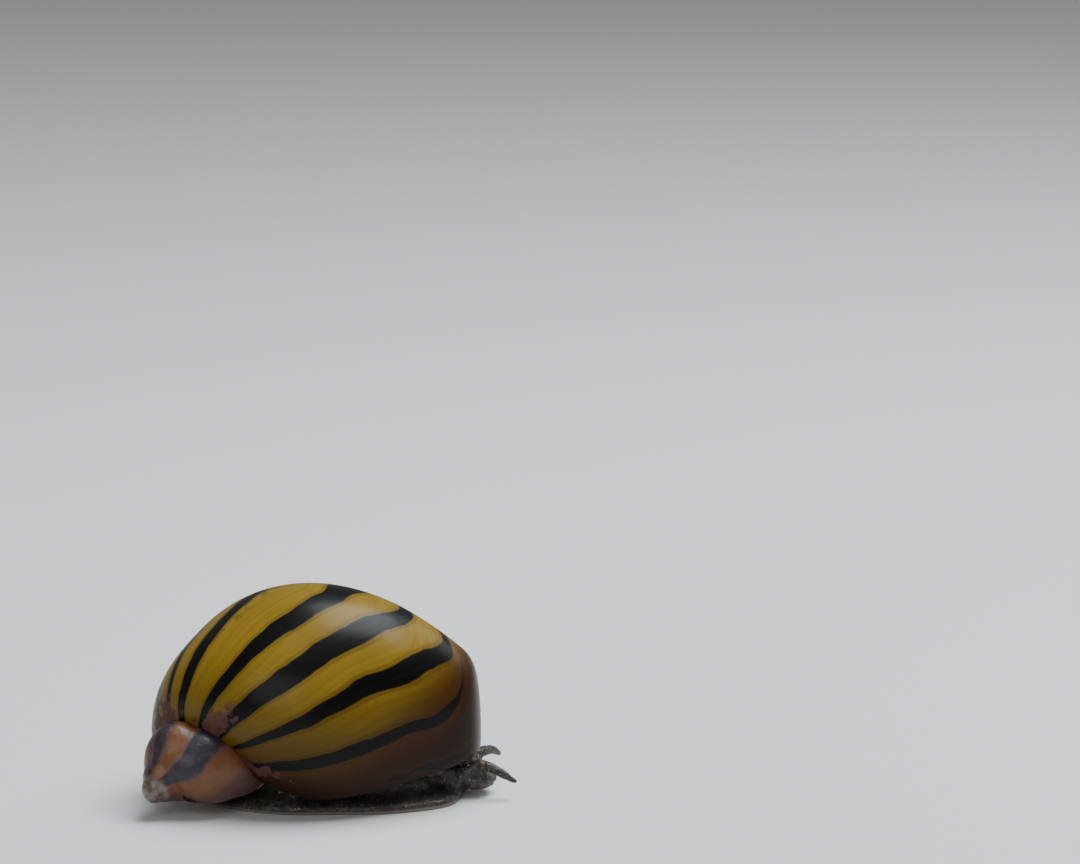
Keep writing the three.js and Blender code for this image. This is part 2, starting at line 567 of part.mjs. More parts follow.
// the column between foot and shell: a stem in the mouth that spreads down to the foot
function columnSolid() {
  const plan = mouthShape(columnInset, MANTLE_BACK + MANTLE_WIDE + GAP, true);
  const neckTop = -GAP - 0.1;
  const stem = underPrism(plan, -0.6, MOUTH_DEPTH - GAP);
  const spread = oval([FOOT_CENTRE[0], FOOT_CENTRE[1] - COLUMN_SPREAD_BACK], COLUMN_SPREAD, 2.2, 40);
  const onFoot = FOOT_THICK + GAP;
  const flare = hull([
    ...plan.map(([x, y]) => new THREE.Vector3(x, y, underHeight(x, y) - COLUMN_WAIST)),
    ...spread.map(([x, y]) => new THREE.Vector3(x, y, onFoot)),
    ...spread.map(([x, y]) => new THREE.Vector3(x, y, onFoot + 0.05))]);
  const whole = joined([cutByUnder(flare, neckTop, false), stem, cutByUnder(neck, neckTop, false)]);
  const behindHead = HEAD_CUT_Y + GAP;
  const front = cutByUnder(whole, -GAP, false).trimByPlane([0, 1, 0], behindHead);
  const overHead = cutByUnder(box([-9, -30, 0], [20, behindHead, 30]), -0.02, false);
  const top = cutByUnder(whole, -GAP - 0.02, true).subtract(overHead);
  return without(front.add(top), [skull(GAP), footRoom, softRoom, operculumRoom]);
}
const column = largest(columnSolid());

// Named parts: solid, colour, roughness
const GREY = [0x5c574f, 0.5];
const BLACK = [0x0a0a0a, 0.1];
const solids = {
  shell_body_whorl: [shellBody, 0x9a7420, 0.22],
  shell_spire: [shellSpire, 0x6d5148, 0.42],
  shell_apex: [shellApex, 0x9a9088, 0.6],
  columellar_deck: [deck, 0xd9cfb4, 0.35],
  mantle_edge: [mantle, 0x4a4640, 0.5],
  body_column: [column, 0x6c665c, 0.5],
  foot: [foot, 0x7a746a, 0.5],
  head: [head, ...GREY],
  tentacle_right: [tentacles[0], ...GREY],
  tentacle_left: [tentacles[1], ...GREY],
  eye_stalk_right: [stalks[0], ...GREY],
  eye_stalk_left: [stalks[1], ...GREY],
  eye_right: [eyes[0], ...BLACK],
  eye_left: [eyes[1], ...BLACK],
  operculum: [operculum, 0x8f8873, 0.4],
};

const nerite = new THREE.Group();
nerite.name = 'nerite_snail';
for (const [name, [solid, color, roughness]] of Object.entries(solids)) {
  const mesh = solid.getMesh();
  const geo = new THREE.BufferGeometry();
  geo.setAttribute('position', new THREE.BufferAttribute(new Float32Array(mesh.vertProperties), 3));
  geo.setIndex(Array.from(mesh.triVerts));
  geo.computeVertexNormals();
  const part = new THREE.Mesh(geo, new THREE.MeshStandardMaterial({ color, roughness }));
  part.name = name;
  nerite.add(part);
}
const whole = new THREE.Box3().setFromObject(nerite);
nerite.position.set(-(whole.min.x + whole.max.x) / 2, -(whole.min.y + whole.max.y) / 2, -whole.min.z);
nerite.updateMatrixWorld(true);

export default nerite;
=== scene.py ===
# %% [markdown]
# # A zebra nerite snail
#
# The real animal is a small freshwater snail with a heavy, glossy, half-round shell.
# Gold and black stripes run over it, each one the track of an old edge of the shell.
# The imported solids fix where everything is. This file gives each of them the surface that the
# real snail has, piece by piece: the striped last whorl, the worn spire, the bald tip,
# the toothed deck in the mouth, the soft body in one skin, the eyes and the lid.

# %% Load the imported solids
import math

import bmesh
import bpy
import numpy as np
from mathutils import Matrix, Vector


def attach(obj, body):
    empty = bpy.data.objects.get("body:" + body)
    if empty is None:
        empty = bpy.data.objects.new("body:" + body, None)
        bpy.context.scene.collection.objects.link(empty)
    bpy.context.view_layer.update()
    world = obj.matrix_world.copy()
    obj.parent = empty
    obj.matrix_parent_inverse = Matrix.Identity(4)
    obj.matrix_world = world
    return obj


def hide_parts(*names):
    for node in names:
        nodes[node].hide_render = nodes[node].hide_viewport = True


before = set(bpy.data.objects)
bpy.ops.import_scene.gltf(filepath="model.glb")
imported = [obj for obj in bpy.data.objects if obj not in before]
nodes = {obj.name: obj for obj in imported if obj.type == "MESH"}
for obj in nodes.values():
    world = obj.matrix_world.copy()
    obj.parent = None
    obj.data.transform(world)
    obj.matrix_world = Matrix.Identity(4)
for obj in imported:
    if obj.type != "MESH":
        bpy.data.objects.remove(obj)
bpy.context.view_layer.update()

MM = 0.001
FINE = 1e-7
print("solids loaded:", ", ".join(sorted(nodes)))

# %% [markdown]
# ## Small tools
#
# Blender's operators act on whatever is selected, so each step first clears the selection
# and then picks its own object. Modifiers are applied at once, which leaves plain meshes.
# The last four tools work on numbers, one for each vertex of a mesh.

# %% Tools for meshes
def pick(piece):
    """Makes one object the selected and active one, in object mode."""
    if bpy.context.object and bpy.context.object.mode != "OBJECT":
        bpy.ops.object.mode_set(mode="OBJECT")
    bpy.ops.object.select_all(action="DESELECT")
    piece.select_set(True)
    bpy.context.view_layer.objects.active = piece
    return piece


def named(name):
    """Names the object that an operator has just added."""
    piece = bpy.context.object
    piece.name = name
    piece.data.name = name
    return piece


def finish_modifier(piece, kind, **settings):
    """Adds a modifier, sets it and applies it."""
    pick(piece)
    modifier = piece.modifiers.new(kind.title(), kind)
    for key, value in settings.items():
        setattr(modifier, key, value)
    bpy.ops.object.modifier_apply(modifier=modifier.name)


def copy_of(piece, name):
    """A copy with a mesh of its own, its loose triangles merged."""
    twin = piece.copy()
    twin.data = piece.data.copy()
    twin.name = name
    twin.data.name = name
    bpy.context.collection.objects.link(twin)
    pick(twin)
    bpy.ops.object.mode_set(mode="EDIT")
    bpy.ops.mesh.select_all(action="SELECT")
    bpy.ops.mesh.remove_doubles(threshold=FINE)
    bpy.ops.object.mode_set(mode="OBJECT")
    return twin


def melt(pieces, name):
    """Joins several meshes into one object."""
    pick(pieces[0])
    for piece in pieces[1:]:
        piece.select_set(True)
    bpy.ops.object.join()
    return named(name)


def drop(piece):
    """Removes a helper that has done its work."""
    bpy.data.objects.remove(piece, do_unlink=True)


def places(piece):
    """The vertices of a mesh as one array, in metres."""
    flat = np.empty(len(piece.data.vertices) * 3)
    piece.data.vertices.foreach_get("co", flat)
    return flat.reshape(-1, 3)


def move_to(piece, spots):
    """Puts the vertices of a mesh at new places."""
    piece.data.vertices.foreach_set("co", np.ascontiguousarray(spots).ravel())
    piece.data.update()


def store(piece, name, values):
    """Keeps one number for each vertex as an attribute of the mesh."""
    layer = piece.data.attributes.new(name, "FLOAT", "POINT")
    layer.data.foreach_set("value", values.astype(np.float32))


def weigh(piece, name, weight, levels):
    """Adds a vertex group that follows a weight from 0 to 1, rounded to equal levels."""
    group = piece.vertex_groups.new(name=name)
    steps = np.round(np.clip(weight, 0, 1) * levels).astype(int)
    for step in range(1, levels + 1):
        group.add(np.flatnonzero(steps == step).tolist(), step / levels, "REPLACE")


def ease(value, low, high):
    """Rises smoothly from 0 at low to 1 at high."""
    t = np.clip((value - low) / (high - low), 0, 1)
    return t * t * (3 - 2 * t)


def window(value, low, high, soft):
    """1 between low and high, easing to 0 outside."""
    return ease(value, low - soft, low + soft) * (1 - ease(value, high - soft, high + soft))


print("vertices of the foot's solid:", len(places(nodes["foot"])))

# %% [markdown]
# ## The coil
#
# A snail lays down shell along its edge while it turns about an axis and grows, so every size is
# multiplied by the same number in each turn. One closed line, the growth line, turned about the
# axis and enlarged step by step, draws the whole shell. These numbers are the part's own.
# Lengths are in millimetres. LIP is in degrees, like the start and end of a coil, LEAD_AT counts
# half turns, and the other angles are in radians.

# %% Numbers of the coil
WHORL_GROWTH = 3.018
AXIS_DIST, DOWN_AXIS = 3.439, 10.102
HALF_ACROSS, HALF_ALONG, LEAN = 3.820, 6.177, -0.349
COS3, SIN3 = -0.028, -0.026
SHOULDER, SHOULDER_AT, SHOULDER_WIDTH = -0.0615, 0.9, 0.5
SUTURE = math.radians(-99.3)
BASE = math.radians(170)
LEAD_AT = [0, 0.25, 0.5, 0.75, 0.95, 1.15, 1.5]
LEAD = [0, -0.107, -0.064, -0.121, 0.235, 0.718, 0.85]
LIP = 122
PILLAR = 0.12
APEX = np.array([-6.390, 11.834, 1.7])
APEX_FOOT = np.array([APEX[0], APEX[1], 0])
FRONT, FRONT_ROUND, FRONT_MID, FRONT_SOFT = 20.3, 0.022, 3.6, 1.15
SLOPE_WAY = np.array([0.198, -0.574, 0.794]) / np.linalg.norm([0.198, -0.574, 0.794])
SLOPE_FROM, SLOPE_SOFT = 20.04, 0.55

azimuth, dip, spin = math.radians(127.64), math.radians(18.44), math.radians(12.37)
axis = Vector((math.cos(azimuth) * math.cos(dip), math.sin(azimuth) * math.cos(dip), -math.sin(dip)))
across1 = (Vector((0, 0, 1)) - axis * axis.z).normalized()
across1.rotate(Matrix.Rotation(spin, 3, axis))
across2 = axis.cross(across1)
coil_frame = Matrix((across1, across2, axis)).transposed().to_4x4()
coil_frame.translation = Vector(APEX) * MM


def growth_lead(place):
    """How far the growth line trails the section, for each place round it (0 at the suture)."""
    turn = np.mod(place - SUTURE, 2 * np.pi)
    outer = BASE - SUTURE
    x = np.minimum(turn, outer) / np.pi
    lead = np.zeros_like(x)
    for i in range(1, len(LEAD_AT)):
        t = np.clip((x - LEAD_AT[i - 1]) / (LEAD_AT[i] - LEAD_AT[i - 1]), 0, 1)
        lead = lead + (LEAD[i] - LEAD[i - 1]) * (t * t * (3 - 2 * t) * 0.5 + t * 0.5)
    t = np.clip((turn - outer) / (2 * np.pi - outer), 0, 1)
    return lead * (1 - t * t * (3 - 2 * t))


def section_radius(place):
    """Distance of the wall from the section's centre."""
    place = np.mod(place - SUTURE, 2 * np.pi) + SUTURE
    a = place - LEAN
    oval = 1 / np.hypot(np.cos(a) / HALF_ACROSS, np.sin(a) / HALF_ALONG)
    shoulder = SHOULDER * np.exp(-(((place - SHOULDER_AT) / SHOULDER_WIDTH) ** 2))
    return oval * (1 + COS3 * np.cos(3 * a) + SIN3 * np.sin(3 * a) + shoulder)


def growth_line(place, grown):
    """The growth line at one growth angle, in the coil's own frame: Z up its axis, apex at 0."""
    theta = grown - growth_lead(place)
    scale = WHORL_GROWTH ** (theta / (2 * np.pi))
    rho = section_radius(place)
    r = scale * np.maximum(AXIS_DIST + rho * np.cos(place), PILLAR)
    down = scale * (DOWN_AXIS + rho * np.sin(place))
    return np.stack([r * np.cos(theta), -r * np.sin(theta), -down], axis=1)


def blunted(spots):
    """The front of the shell is blunter than the bare coil, and its upper front slopes."""
    spots = spots / MM - APEX_FOOT
    start = FRONT - FRONT_ROUND * (spots[:, 0] - FRONT_MID) ** 2
    over = np.maximum(-spots[:, 1] - start, 0)
    soft = -start - FRONT_SOFT * (1 - np.exp(-over / FRONT_SOFT))
    spots[:, 1] = np.where(over > 0, soft, spots[:, 1])
    past = np.maximum(spots @ SLOPE_WAY - SLOPE_FROM, 0)
    back = past - SLOPE_SOFT * (1 - np.exp(-past / SLOPE_SOFT))
    return (spots - back[:, None] * SLOPE_WAY + APEX_FOOT) * MM


print("growth in one turn:", WHORL_GROWTH, " axis:", [round(v, 3) for v in axis])

# %% [markdown]
# A circle is added and its vertices are laid on the growth line. Then one step is repeated:
# extrude the ring, turn it about the axis, enlarge it from the apex. This is how the snail
# itself does it, and the rings of the mesh then lie along the lines of growth.

# %% Sweep the growth line
def coil(name, start, end, step, round_count):
    """Sweeps the growth line from one growth angle to another, in degrees."""
    steps = round((end - start) / step)
    turn = math.radians((end - start) / steps)
    enlarge = WHORL_GROWTH ** (turn / (2 * math.pi))
    bpy.ops.object.select_all(action="DESELECT")
    bpy.ops.mesh.primitive_circle_add(vertices=round_count, radius=MM, fill_type="NGON")
    tube = named(name)
    place = SUTURE + 2 * np.pi * np.arange(round_count) / round_count
    move_to(tube, growth_line(place, math.radians(start)) * MM)
    bpy.ops.object.mode_set(mode="EDIT")
    bpy.ops.mesh.select_all(action="SELECT")
    for _ in range(steps):
        bpy.ops.mesh.extrude_region_move()
        bpy.ops.transform.rotate(value=turn, orient_axis="Z", center_override=(0, 0, 0))
        bpy.ops.transform.resize(value=(enlarge,) * 3, center_override=(0, 0, 0))
    bpy.ops.object.mode_set(mode="OBJECT")
    ends = places(tube)[-round_count:]
    aim = growth_line(place, math.radians(end)) * MM
    print(name, "rings:", steps + 1, " end off by mm:", round(float(np.abs(ends - aim).max()) / MM, 4))
    return tube


def settle(tube):
    """Moves a coil from its own frame to its place in the part, and turns its normals outward."""
    pick(tube)
    tube.matrix_world = coil_frame
    bpy.ops.object.transform_apply(location=True, rotation=True, scale=True)
    move_to(tube, blunted(places(tube)))
    bpy.ops.object.mode_set(mode="EDIT")
    bpy.ops.mesh.select_all(action="SELECT")
    bpy.ops.mesh.normals_make_consistent(inside=False)
    bpy.ops.object.mode_set(mode="OBJECT")


def egg(name, centre, half):
    """A ball squeezed to three half sizes, in millimetres."""
    bpy.ops.object.select_all(action="DESELECT")
    bpy.ops.mesh.primitive_uv_sphere_add(segments=64, ring_count=40, radius=MM, location=centre * MM)
    bpy.ops.transform.resize(value=tuple(half), center_override=tuple(centre * MM))
    bpy.ops.object.transform_apply(location=True, rotation=True, scale=True)
    return named(name)


WHORL_START = LIP - 352
RING_STEP, ROUND = 3, 96
PAST_LIP = 5
last_whorl = coil("last_whorl", WHORL_START, LIP + PAST_LIP, RING_STEP, ROUND)
settle(last_whorl)

# %% [markdown]
# ## The last whorl and its base
#
# Seen from the side, the last whorl is the coil itself. Its base and its left side are a smooth
# dome that closes round the coil. A convex hull over the outer wall and an egg-shaped swelling
# gives that dome. A finely divided ball is then shrunk onto coil and dome together, so that the
# shell becomes one even, closed skin without a seam, ready to be cut open at the mouth.

# %% The dome that closes the base
HULL_RINGS = 103
WALL_FROM = math.radians(-8)
EGG_CENTRE = APEX + np.array([8.3, -11.4, 1.5])
EGG_HALF = (6.1, 9.4, 7.7)

dome = copy_of(last_whorl, "dome")
wall_place = SUTURE + 2 * np.pi * (np.arange(len(dome.data.vertices)) % ROUND) / ROUND
ring_number = np.arange(len(dome.data.vertices)) // ROUND
outer_wall = (wall_place > WALL_FROM) & (wall_place < BASE)
outer_wall &= ring_number >= ring_number.max() - HULL_RINGS
bpy.ops.object.mode_set(mode="EDIT")
bpy.ops.mesh.select_all(action="DESELECT")
shape = bmesh.from_edit_mesh(dome.data)
for vert in shape.verts:
    vert.select = not outer_wall[vert.index]
shape.select_flush_mode()
bmesh.update_edit_mesh(dome.data)
bpy.ops.mesh.delete(type="VERT")
bpy.ops.object.mode_set(mode="OBJECT")
dome = melt([dome, egg("swelling", EGG_CENTRE, EGG_HALF)], "dome")
bpy.ops.object.mode_set(mode="EDIT")
bpy.ops.mesh.select_all(action="SELECT")
bpy.ops.mesh.convex_hull(use_existing_faces=False, join_triangles=False)
bpy.ops.object.mode_set(mode="OBJECT")
print("dome faces:", len(dome.data.polygons))

# %% Shrink a ball onto coil and dome
BALL_CENTRE = Vector((0.8, 0.5, 4.5)) * MM
BALL_CUBE, BALL_SPLITS, BALL_RADIUS = 30 * MM, 7, 20 * MM
finish_modifier(last_whorl, "SUBSURF", levels=1, render_levels=1)
form = melt([copy_of(last_whorl, "form"), dome], "form")

bpy.ops.object.select_all(action="DESELECT")
bpy.ops.mesh.primitive_cube_add(size=BALL_CUBE, location=BALL_CENTRE)
shell = named("shell_last_whorl")
bpy.ops.object.transform_apply(location=False, rotation=True, scale=True)
finish_modifier(shell, "SUBSURF", levels=BALL_SPLITS, render_levels=BALL_SPLITS)
finish_modifier(shell, "CAST", cast_type="SPHERE", factor=1.0, radius=BALL_RADIUS)
finish_modifier(shell, "SHRINKWRAP", target=form, wrap_method="PROJECT",
                use_negative_direction=True, use_positive_direction=False)
pick(shell)
bpy.ops.object.transform_apply(location=True, rotation=True, scale=True)
print("ball faces:", len(shell.data.polygons), " box mm:", (np.ptp(places(shell), axis=0) / MM).round(2))

# %% [markdown]
# The ball now has the outline of the real shell. A few rounds of smoothing melt the facets of the
# hull, more on the left side, where the dome bulges, and at the front, where the shell is blunt.

# %% Smooth the shell
LEFT_SIDE, LEFT_ROUNDS = (-0.5 * MM, 3.5 * MM), 80
FRONT_SIDE, FRONT_ROUNDS = (3.5 * MM, 7.5 * MM), 50
WHERE_LEVELS = 20


def smooth_where(piece, weight, rounds):
    """Smooths a mesh, more where the weight, one number a vertex, is larger."""
    weigh(piece, "where", weight, WHERE_LEVELS)
    finish_modifier(piece, "SMOOTH", factor=0.5, iterations=rounds, vertex_group="where")
    piece.vertex_groups.clear()


finish_modifier(shell, "SMOOTH", factor=0.5, iterations=3)
left = ease(places(shell)[:, 0], *LEFT_SIDE)
smooth_where(shell, left, LEFT_ROUNDS)
front = ease(-places(shell)[:, 1], *FRONT_SIDE)
smooth_where(shell, front, FRONT_ROUNDS)
print("smoothed over:", round(float(np.maximum(left, front).mean()), 2), "of the ball")

# %% [markdown]
# The rim of the shell lies in one plane, which leans down to the right side. The shell is cut
# off along that plane, and a flat cut lower down keeps it clear of the floor at the back.

# %% Cut the underside
UNDER_AT = Vector((-6.89, -0.166, 1.3)) * MM
UNDER_NORMAL = Vector((-0.24, 0.085, 1)).normalized()
SPIRE_FLAT = 1.05 * MM


def keep_above(piece, point, normal):
    """Cuts a closed mesh by a plane, keeps the side the normal points to, and closes the cut."""
    pick(piece)
    bpy.ops.object.mode_set(mode="EDIT")
    bpy.ops.mesh.select_all(action="SELECT")
    bpy.ops.mesh.bisect(plane_co=point, plane_no=normal, use_fill=True, clear_inner=True,
                        threshold=FINE)
    bpy.ops.object.mode_set(mode="OBJECT")


keep_above(shell, UNDER_AT, UNDER_NORMAL)
keep_above(shell, Vector((0, 0, SPIRE_FLAT)), Vector((0, 0, 1)))
print("shell faces after the cut:", len(shell.data.polygons))

# %% [markdown]
# ## The older whorls and the bald tip
#
# The same growth line, begun much earlier, draws the older whorls. Soft river water eats away the
# oldest of them. So the pointed start of the coil is cut off, and three squeezed balls are joined
# to what is left: a worn swelling in the middle, a collar, and the low, rounded stump of the tip.
# A remesh melts coil and balls into one worn surface. A copy of the coil and one of the swelling,
# both a little larger, are kept as room for these whorls, which the mouth must not cut into.

# %% The older whorls
ERODED_TO = 1.0
WORN_AT = APEX_FOOT + np.array([1.79, -2.434, 3.3])
WORN_HALF = np.array([1.8, 2.24, 2.6])
STUMP_AT = np.array([-5.78, 10.95, 1.98])
STUMP_HALF = np.array([0.92, 0.80, 0.93])
COLLAR_AT = np.array([-5.35, 10.45, 2.55])
COLLAR_HALF = np.array([1.2, 1.25, 1.35])
SHELL_WALL = 0.9
SPIRE_BACK, ROOM_BACK, OVERLAP = 560, 300, 6
ROOM_STEP, ROOM_ROUND = 12, 28
WORN_GRID, WORN_ROUNDS = 0.1 * MM, 14

spire = coil("shell_older_whorls", WHORL_START - SPIRE_BACK, WHORL_START + OVERLAP, RING_STEP, ROUND)
settle(spire)
keep_above(spire, Vector(APEX) * MM - axis * ERODED_TO * MM, -axis)
worn_dome = egg("worn_dome", WORN_AT, WORN_HALF)
stump = egg("stump", STUMP_AT, STUMP_HALF)
collar = egg("collar", COLLAR_AT, COLLAR_HALF)
spire = melt([spire, worn_dome, stump, collar], "shell_older_whorls")
finish_modifier(spire, "REMESH", mode="VOXEL", voxel_size=WORN_GRID)
finish_modifier(spire, "SMOOTH", factor=0.5, iterations=WORN_ROUNDS)
keep_above(spire, Vector((0, 0, SPIRE_FLAT)), Vector((0, 0, 1)))
spire_room = coil("spire_room", WHORL_START - ROOM_BACK, WHORL_START + OVERLAP, ROOM_STEP, ROOM_ROUND)
settle(spire_room)
finish_modifier(spire_room, "DISPLACE", strength=SHELL_WALL * MM, mid_level=0)
worn_room = egg("worn_room", WORN_AT, WORN_HALF + SHELL_WALL)
print("older whorls faces:", len(spire.data.polygons))

# %% [markdown]
# The mouth is a slightly squared oval, seen from below. Two prisms of that oval are cut out of the
# shell: a deep one for the opening, and a shallow one, wider by the gap round the deck, behind the
# straight edge where the deck begins.

# %% Cut the mouth
MOUTH_CENTRE = np.array([0.46, 0.634])
MOUTH_HALF = np.array([6.2, 8.95])
MOUTH_SQUARE = 2.15
MOUTH_DEEP = 2.4
RIM_THICKER = 0.22
OVAL_POINTS = 128
EDGE_AT = np.array([-0.49, 0.634])
EDGE_ROOM = 0.3
GROW_WAY = np.array([-0.7918, -0.6108])
DECK_LARGER, DECK_DEEP = 0.3, 1.2
TOOL_FROM, TOOL_HIGH = -3.0, 20


def mouth_tool(name, larger, deep, behind):
    """A prism over the mouth's oval, or over the part of it behind the pillar's edge."""
    turn = 2 * np.pi * np.arange(OVAL_POINTS) / OVAL_POINTS
    plan = np.stack([np.cos(turn), np.sin(turn)], axis=1)
    plan = plan * (np.abs(plan) ** MOUTH_SQUARE).sum(axis=1)[:, None] ** (-1 / MOUTH_SQUARE)
    plan = MOUTH_CENTRE + (MOUTH_HALF + larger) * plan
    if behind:
        plan = plan[(plan - EDGE_AT) @ GROW_WAY < EDGE_ROOM]
    low = np.full((len(plan), 1), TOOL_FROM)
    bpy.ops.object.select_all(action="DESELECT")
    bpy.ops.mesh.primitive_circle_add(vertices=len(plan), radius=MM, fill_type="NGON")
    tool = named(name)
    move_to(tool, np.hstack([plan, low]) * MM)
    bpy.ops.object.mode_set(mode="EDIT")
    bpy.ops.mesh.select_all(action="SELECT")
    bpy.ops.mesh.extrude_region_move(TRANSFORM_OT_translate={"value": (0, 0, TOOL_HIGH * MM)})
    bpy.ops.mesh.select_all(action="SELECT")
    bpy.ops.mesh.normals_make_consistent(inside=False)
    bpy.ops.mesh.bisect(plane_co=UNDER_AT + UNDER_NORMAL * deep * MM, plane_no=UNDER_NORMAL,
                        use_fill=True, clear_outer=True, threshold=FINE)
    bpy.ops.mesh.select_all(action="SELECT")
    bpy.ops.mesh.remove_doubles(threshold=FINE)
    bpy.ops.mesh.normals_make_consistent(inside=False)
    bpy.ops.object.mode_set(mode="OBJECT")
    return tool


def cut(piece, tool, own=False):
    """Takes a closed tool out of a closed piece. With own, the tool may run through itself."""
    finish_modifier(piece, "BOOLEAN", operation="DIFFERENCE", solver="EXACT", use_self=own, object=tool)
    print(piece.name, "cut by", tool.name, "faces:", len(piece.data.polygons))


opening = mouth_tool("opening", -RIM_THICKER, MOUTH_DEEP, behind=False)
deck_bed = mouth_tool("deck_bed", DECK_LARGER, DECK_DEEP, behind=True)
for tool in (opening, deck_bed):
    cut(tool, spire_room, own=True)
    cut(tool, worn_room)
cut(shell, opening)
cut(shell, deck_bed)
for helper in (opening, deck_bed, spire_room, worn_room, form, last_whorl):
    drop(helper)

# %% [markdown]
# The cut leaves a sharp, slightly ragged edge. On the snail the rim is rounded, so the vertices
# close to the plane of the cut are smoothed. The same look at where a vertex lies tells which
# of them line the mouth, where the shell is bare and pale like the deck.

# %% Round the rim
RIM_HIGH, RIM_ROUNDS = 0.4, 16
LINING_EDGE = (1.0, 1.03)
LINING_TOP = (MOUTH_DEEP + 0.1, MOUTH_DEEP + 0.3)

above = (places(shell) - np.array(UNDER_AT)) @ np.array(UNDER_NORMAL) / MM
smooth_where(shell, 1 - ease(above, 0.5 * RIM_HIGH, RIM_HIGH), RIM_ROUNDS)
print("rim rounded, lowest point mm:", round(float(places(shell)[:, 2].min()) / MM, 3))

plan = (places(shell)[:, :2] / MM - MOUTH_CENTRE) / (MOUTH_HALF - RIM_THICKER)
squareness = (np.abs(plan) ** MOUTH_SQUARE).sum(axis=1) ** (1 / MOUTH_SQUARE)
lining = 1 - ease(squareness, *LINING_EDGE)
lining *= 1 - ease(above, *LINING_TOP)
store(shell, "lining", lining)
print("share of the vertices that line the mouth:", round(float(lining.mean()), 3))

# %% [markdown]
# Colour on a snail's shell follows the lines of growth. Each vertex therefore learns two numbers:
# its growth angle, which says when that bit of shell was laid down, and its place round the
# section, from the seam with the older whorl to the base. Both come from turning the coil's own
# formula round, and both stay with the mesh as attributes for the material to read. On the left
# side the lines of growth run down over the dome to the rim, so its points are looked up a little
# nearer the top.

# %% Growth angle and place of every vertex
TURN_LINE = np.array([0.5, 3.0])
TURN_FROM, TURN_TO, TURN_BY = 5, 112, 52
SHELL_SPAN = (WHORL_START - 8, LIP + 40)
SPIRE_SPAN = (WHORL_START - 325, WHORL_START + 45)
OUT_OF_SPAN = 10


def turned_over(spots):
    """Turns the left side of the dome up toward its top, about a line from back to front."""
    side = spots[:, 0] - TURN_LINE[0]
    high = spots[:, 2] - TURN_LINE[1]
    slant = np.degrees(np.arctan2(side, high))
    reach = np.hypot(side, high)
    slant = np.radians(slant - TURN_BY * ease(slant, TURN_FROM, TURN_TO))
    return np.stack([TURN_LINE[0] + reach * np.sin(slant), spots[:, 1],
                     TURN_LINE[1] + reach * np.cos(slant)], axis=1)


def learn_growth(piece, span):
    """Stores the growth angle in degrees and the place round the section in radians."""
    spots = turned_over(places(piece) / MM) - APEX
    down = -(spots @ np.array(axis))
    x = spots @ np.array(across1)
    y = -(spots @ np.array(across2))
    r = np.hypot(x, y)
    phi = np.arctan2(y, x)
    best = np.full(len(spots), np.inf)
    grown = np.zeros(len(spots))
    place = np.zeros(len(spots))
    for turns in range(-3, 2):
        theta = phi + 2 * np.pi * turns
        scale = WHORL_GROWTH ** (theta / (2 * np.pi))
        up = down / scale - DOWN_AXIS
        out = r / scale - AXIS_DIST
        here = np.arctan2(up, out)
        growth = np.degrees(theta + growth_lead(here))
        miss = np.abs(np.log(np.hypot(up, out) / section_radius(here)))
        miss = miss + OUT_OF_SPAN * ((growth < span[0]) | (growth > span[1]))
        better = miss < best
        best = np.where(better, miss, best)
        grown = np.where(better, growth, grown)
        place = np.where(better, np.mod(here - SUTURE, 2 * np.pi), place)
    store(piece, "growth", grown)
    store(piece, "place", place)
    print(piece.name, "growth angles:", grown.min().round(1), grown.max().round(1))


learn_growth(shell, SHELL_SPAN)
learn_growth(spire, SPIRE_SPAN)

# %% [markdown]
# The stripes of this snail don't follow the growth lines exactly. They wander a little on their
# way from the seam and swing where they cross the top, so the pattern gets a growth angle of its
# own: the true one with these small delays. Each pair of numbers says between which places, in
# radians, or between which growth angles, in degrees, such a delay comes in.

# %% The pattern's own growth angle
DELAY_AT = [0, 0.4, 0.8, 1.3, 1.8, 2.3, 7]
DELAY = [4, 1, -2, 0, 1, 0, 0]
DELAY_SAMPLES, DELAY_SPAN = 141, 7
TOP_SWING, TOP_PLACES, TOP_COMES, TOP_GOES = 14, (2.3, 2.8), (28, 58), (92, 99)
OLD_SLOPE, OLD_PLACE, OLD_GOES = 4, 0.4, (10, 32)
LIP_LIFT, LIP_PLACES, LIP_COMES = 3.5, (2.0, 2.45), (93, 98)
WORN_SLOPE = 12


def read_attribute(piece, name):
    """One number for each vertex."""
    values = np.empty(len(piece.data.vertices), dtype=np.float32)
    piece.data.attributes[name].data.foreach_get("value", values)
    return values


def learn_pattern(piece, worn):
    """Stores the angle that the stripes are drawn by, in degrees."""
    grown = read_attribute(piece, "growth")
    place = read_attribute(piece, "place")
    if worn:
        angle = grown + WORN_SLOPE * place
    else:
        at = np.linspace(0, DELAY_AT[-1], DELAY_SAMPLES)
        padded = np.pad(np.interp(at, DELAY_AT, DELAY), DELAY_SPAN // 2, mode="edge")
        delay = np.convolve(padded, np.ones(DELAY_SPAN) / DELAY_SPAN, "valid")
        angle = grown - np.interp(place, at, delay)
        swing = ease(place, *TOP_PLACES) * ease(grown, *TOP_COMES) * (1 - ease(grown, *TOP_GOES))
        angle -= TOP_SWING * swing
        angle += OLD_SLOPE * np.maximum(place - OLD_PLACE, 0) * (1 - ease(grown, *OLD_GOES))
        angle += LIP_LIFT * ease(place, *LIP_PLACES) * ease(grown, *LIP_COMES)
    store(piece, "pattern", angle)
    print(piece.name, "pattern from", angle.min().round(1), "to", angle.max().round(1))


learn_pattern(shell, worn=False)
learn_pattern(spire, worn=True)

# %% [markdown]
# ## The soft body
#
# Foot, column, head, mantle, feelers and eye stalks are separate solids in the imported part, with
# thin gaps between them. On the animal they are one wet skin. So copies of them are swollen until
# they touch, remeshed into one surface, and shrunk back by the same amount: only the gaps stay
# filled. Each stalk gets a seat for its eye. Under the shell, where foot and column meet in small
# steps, the skin is smoothed more.

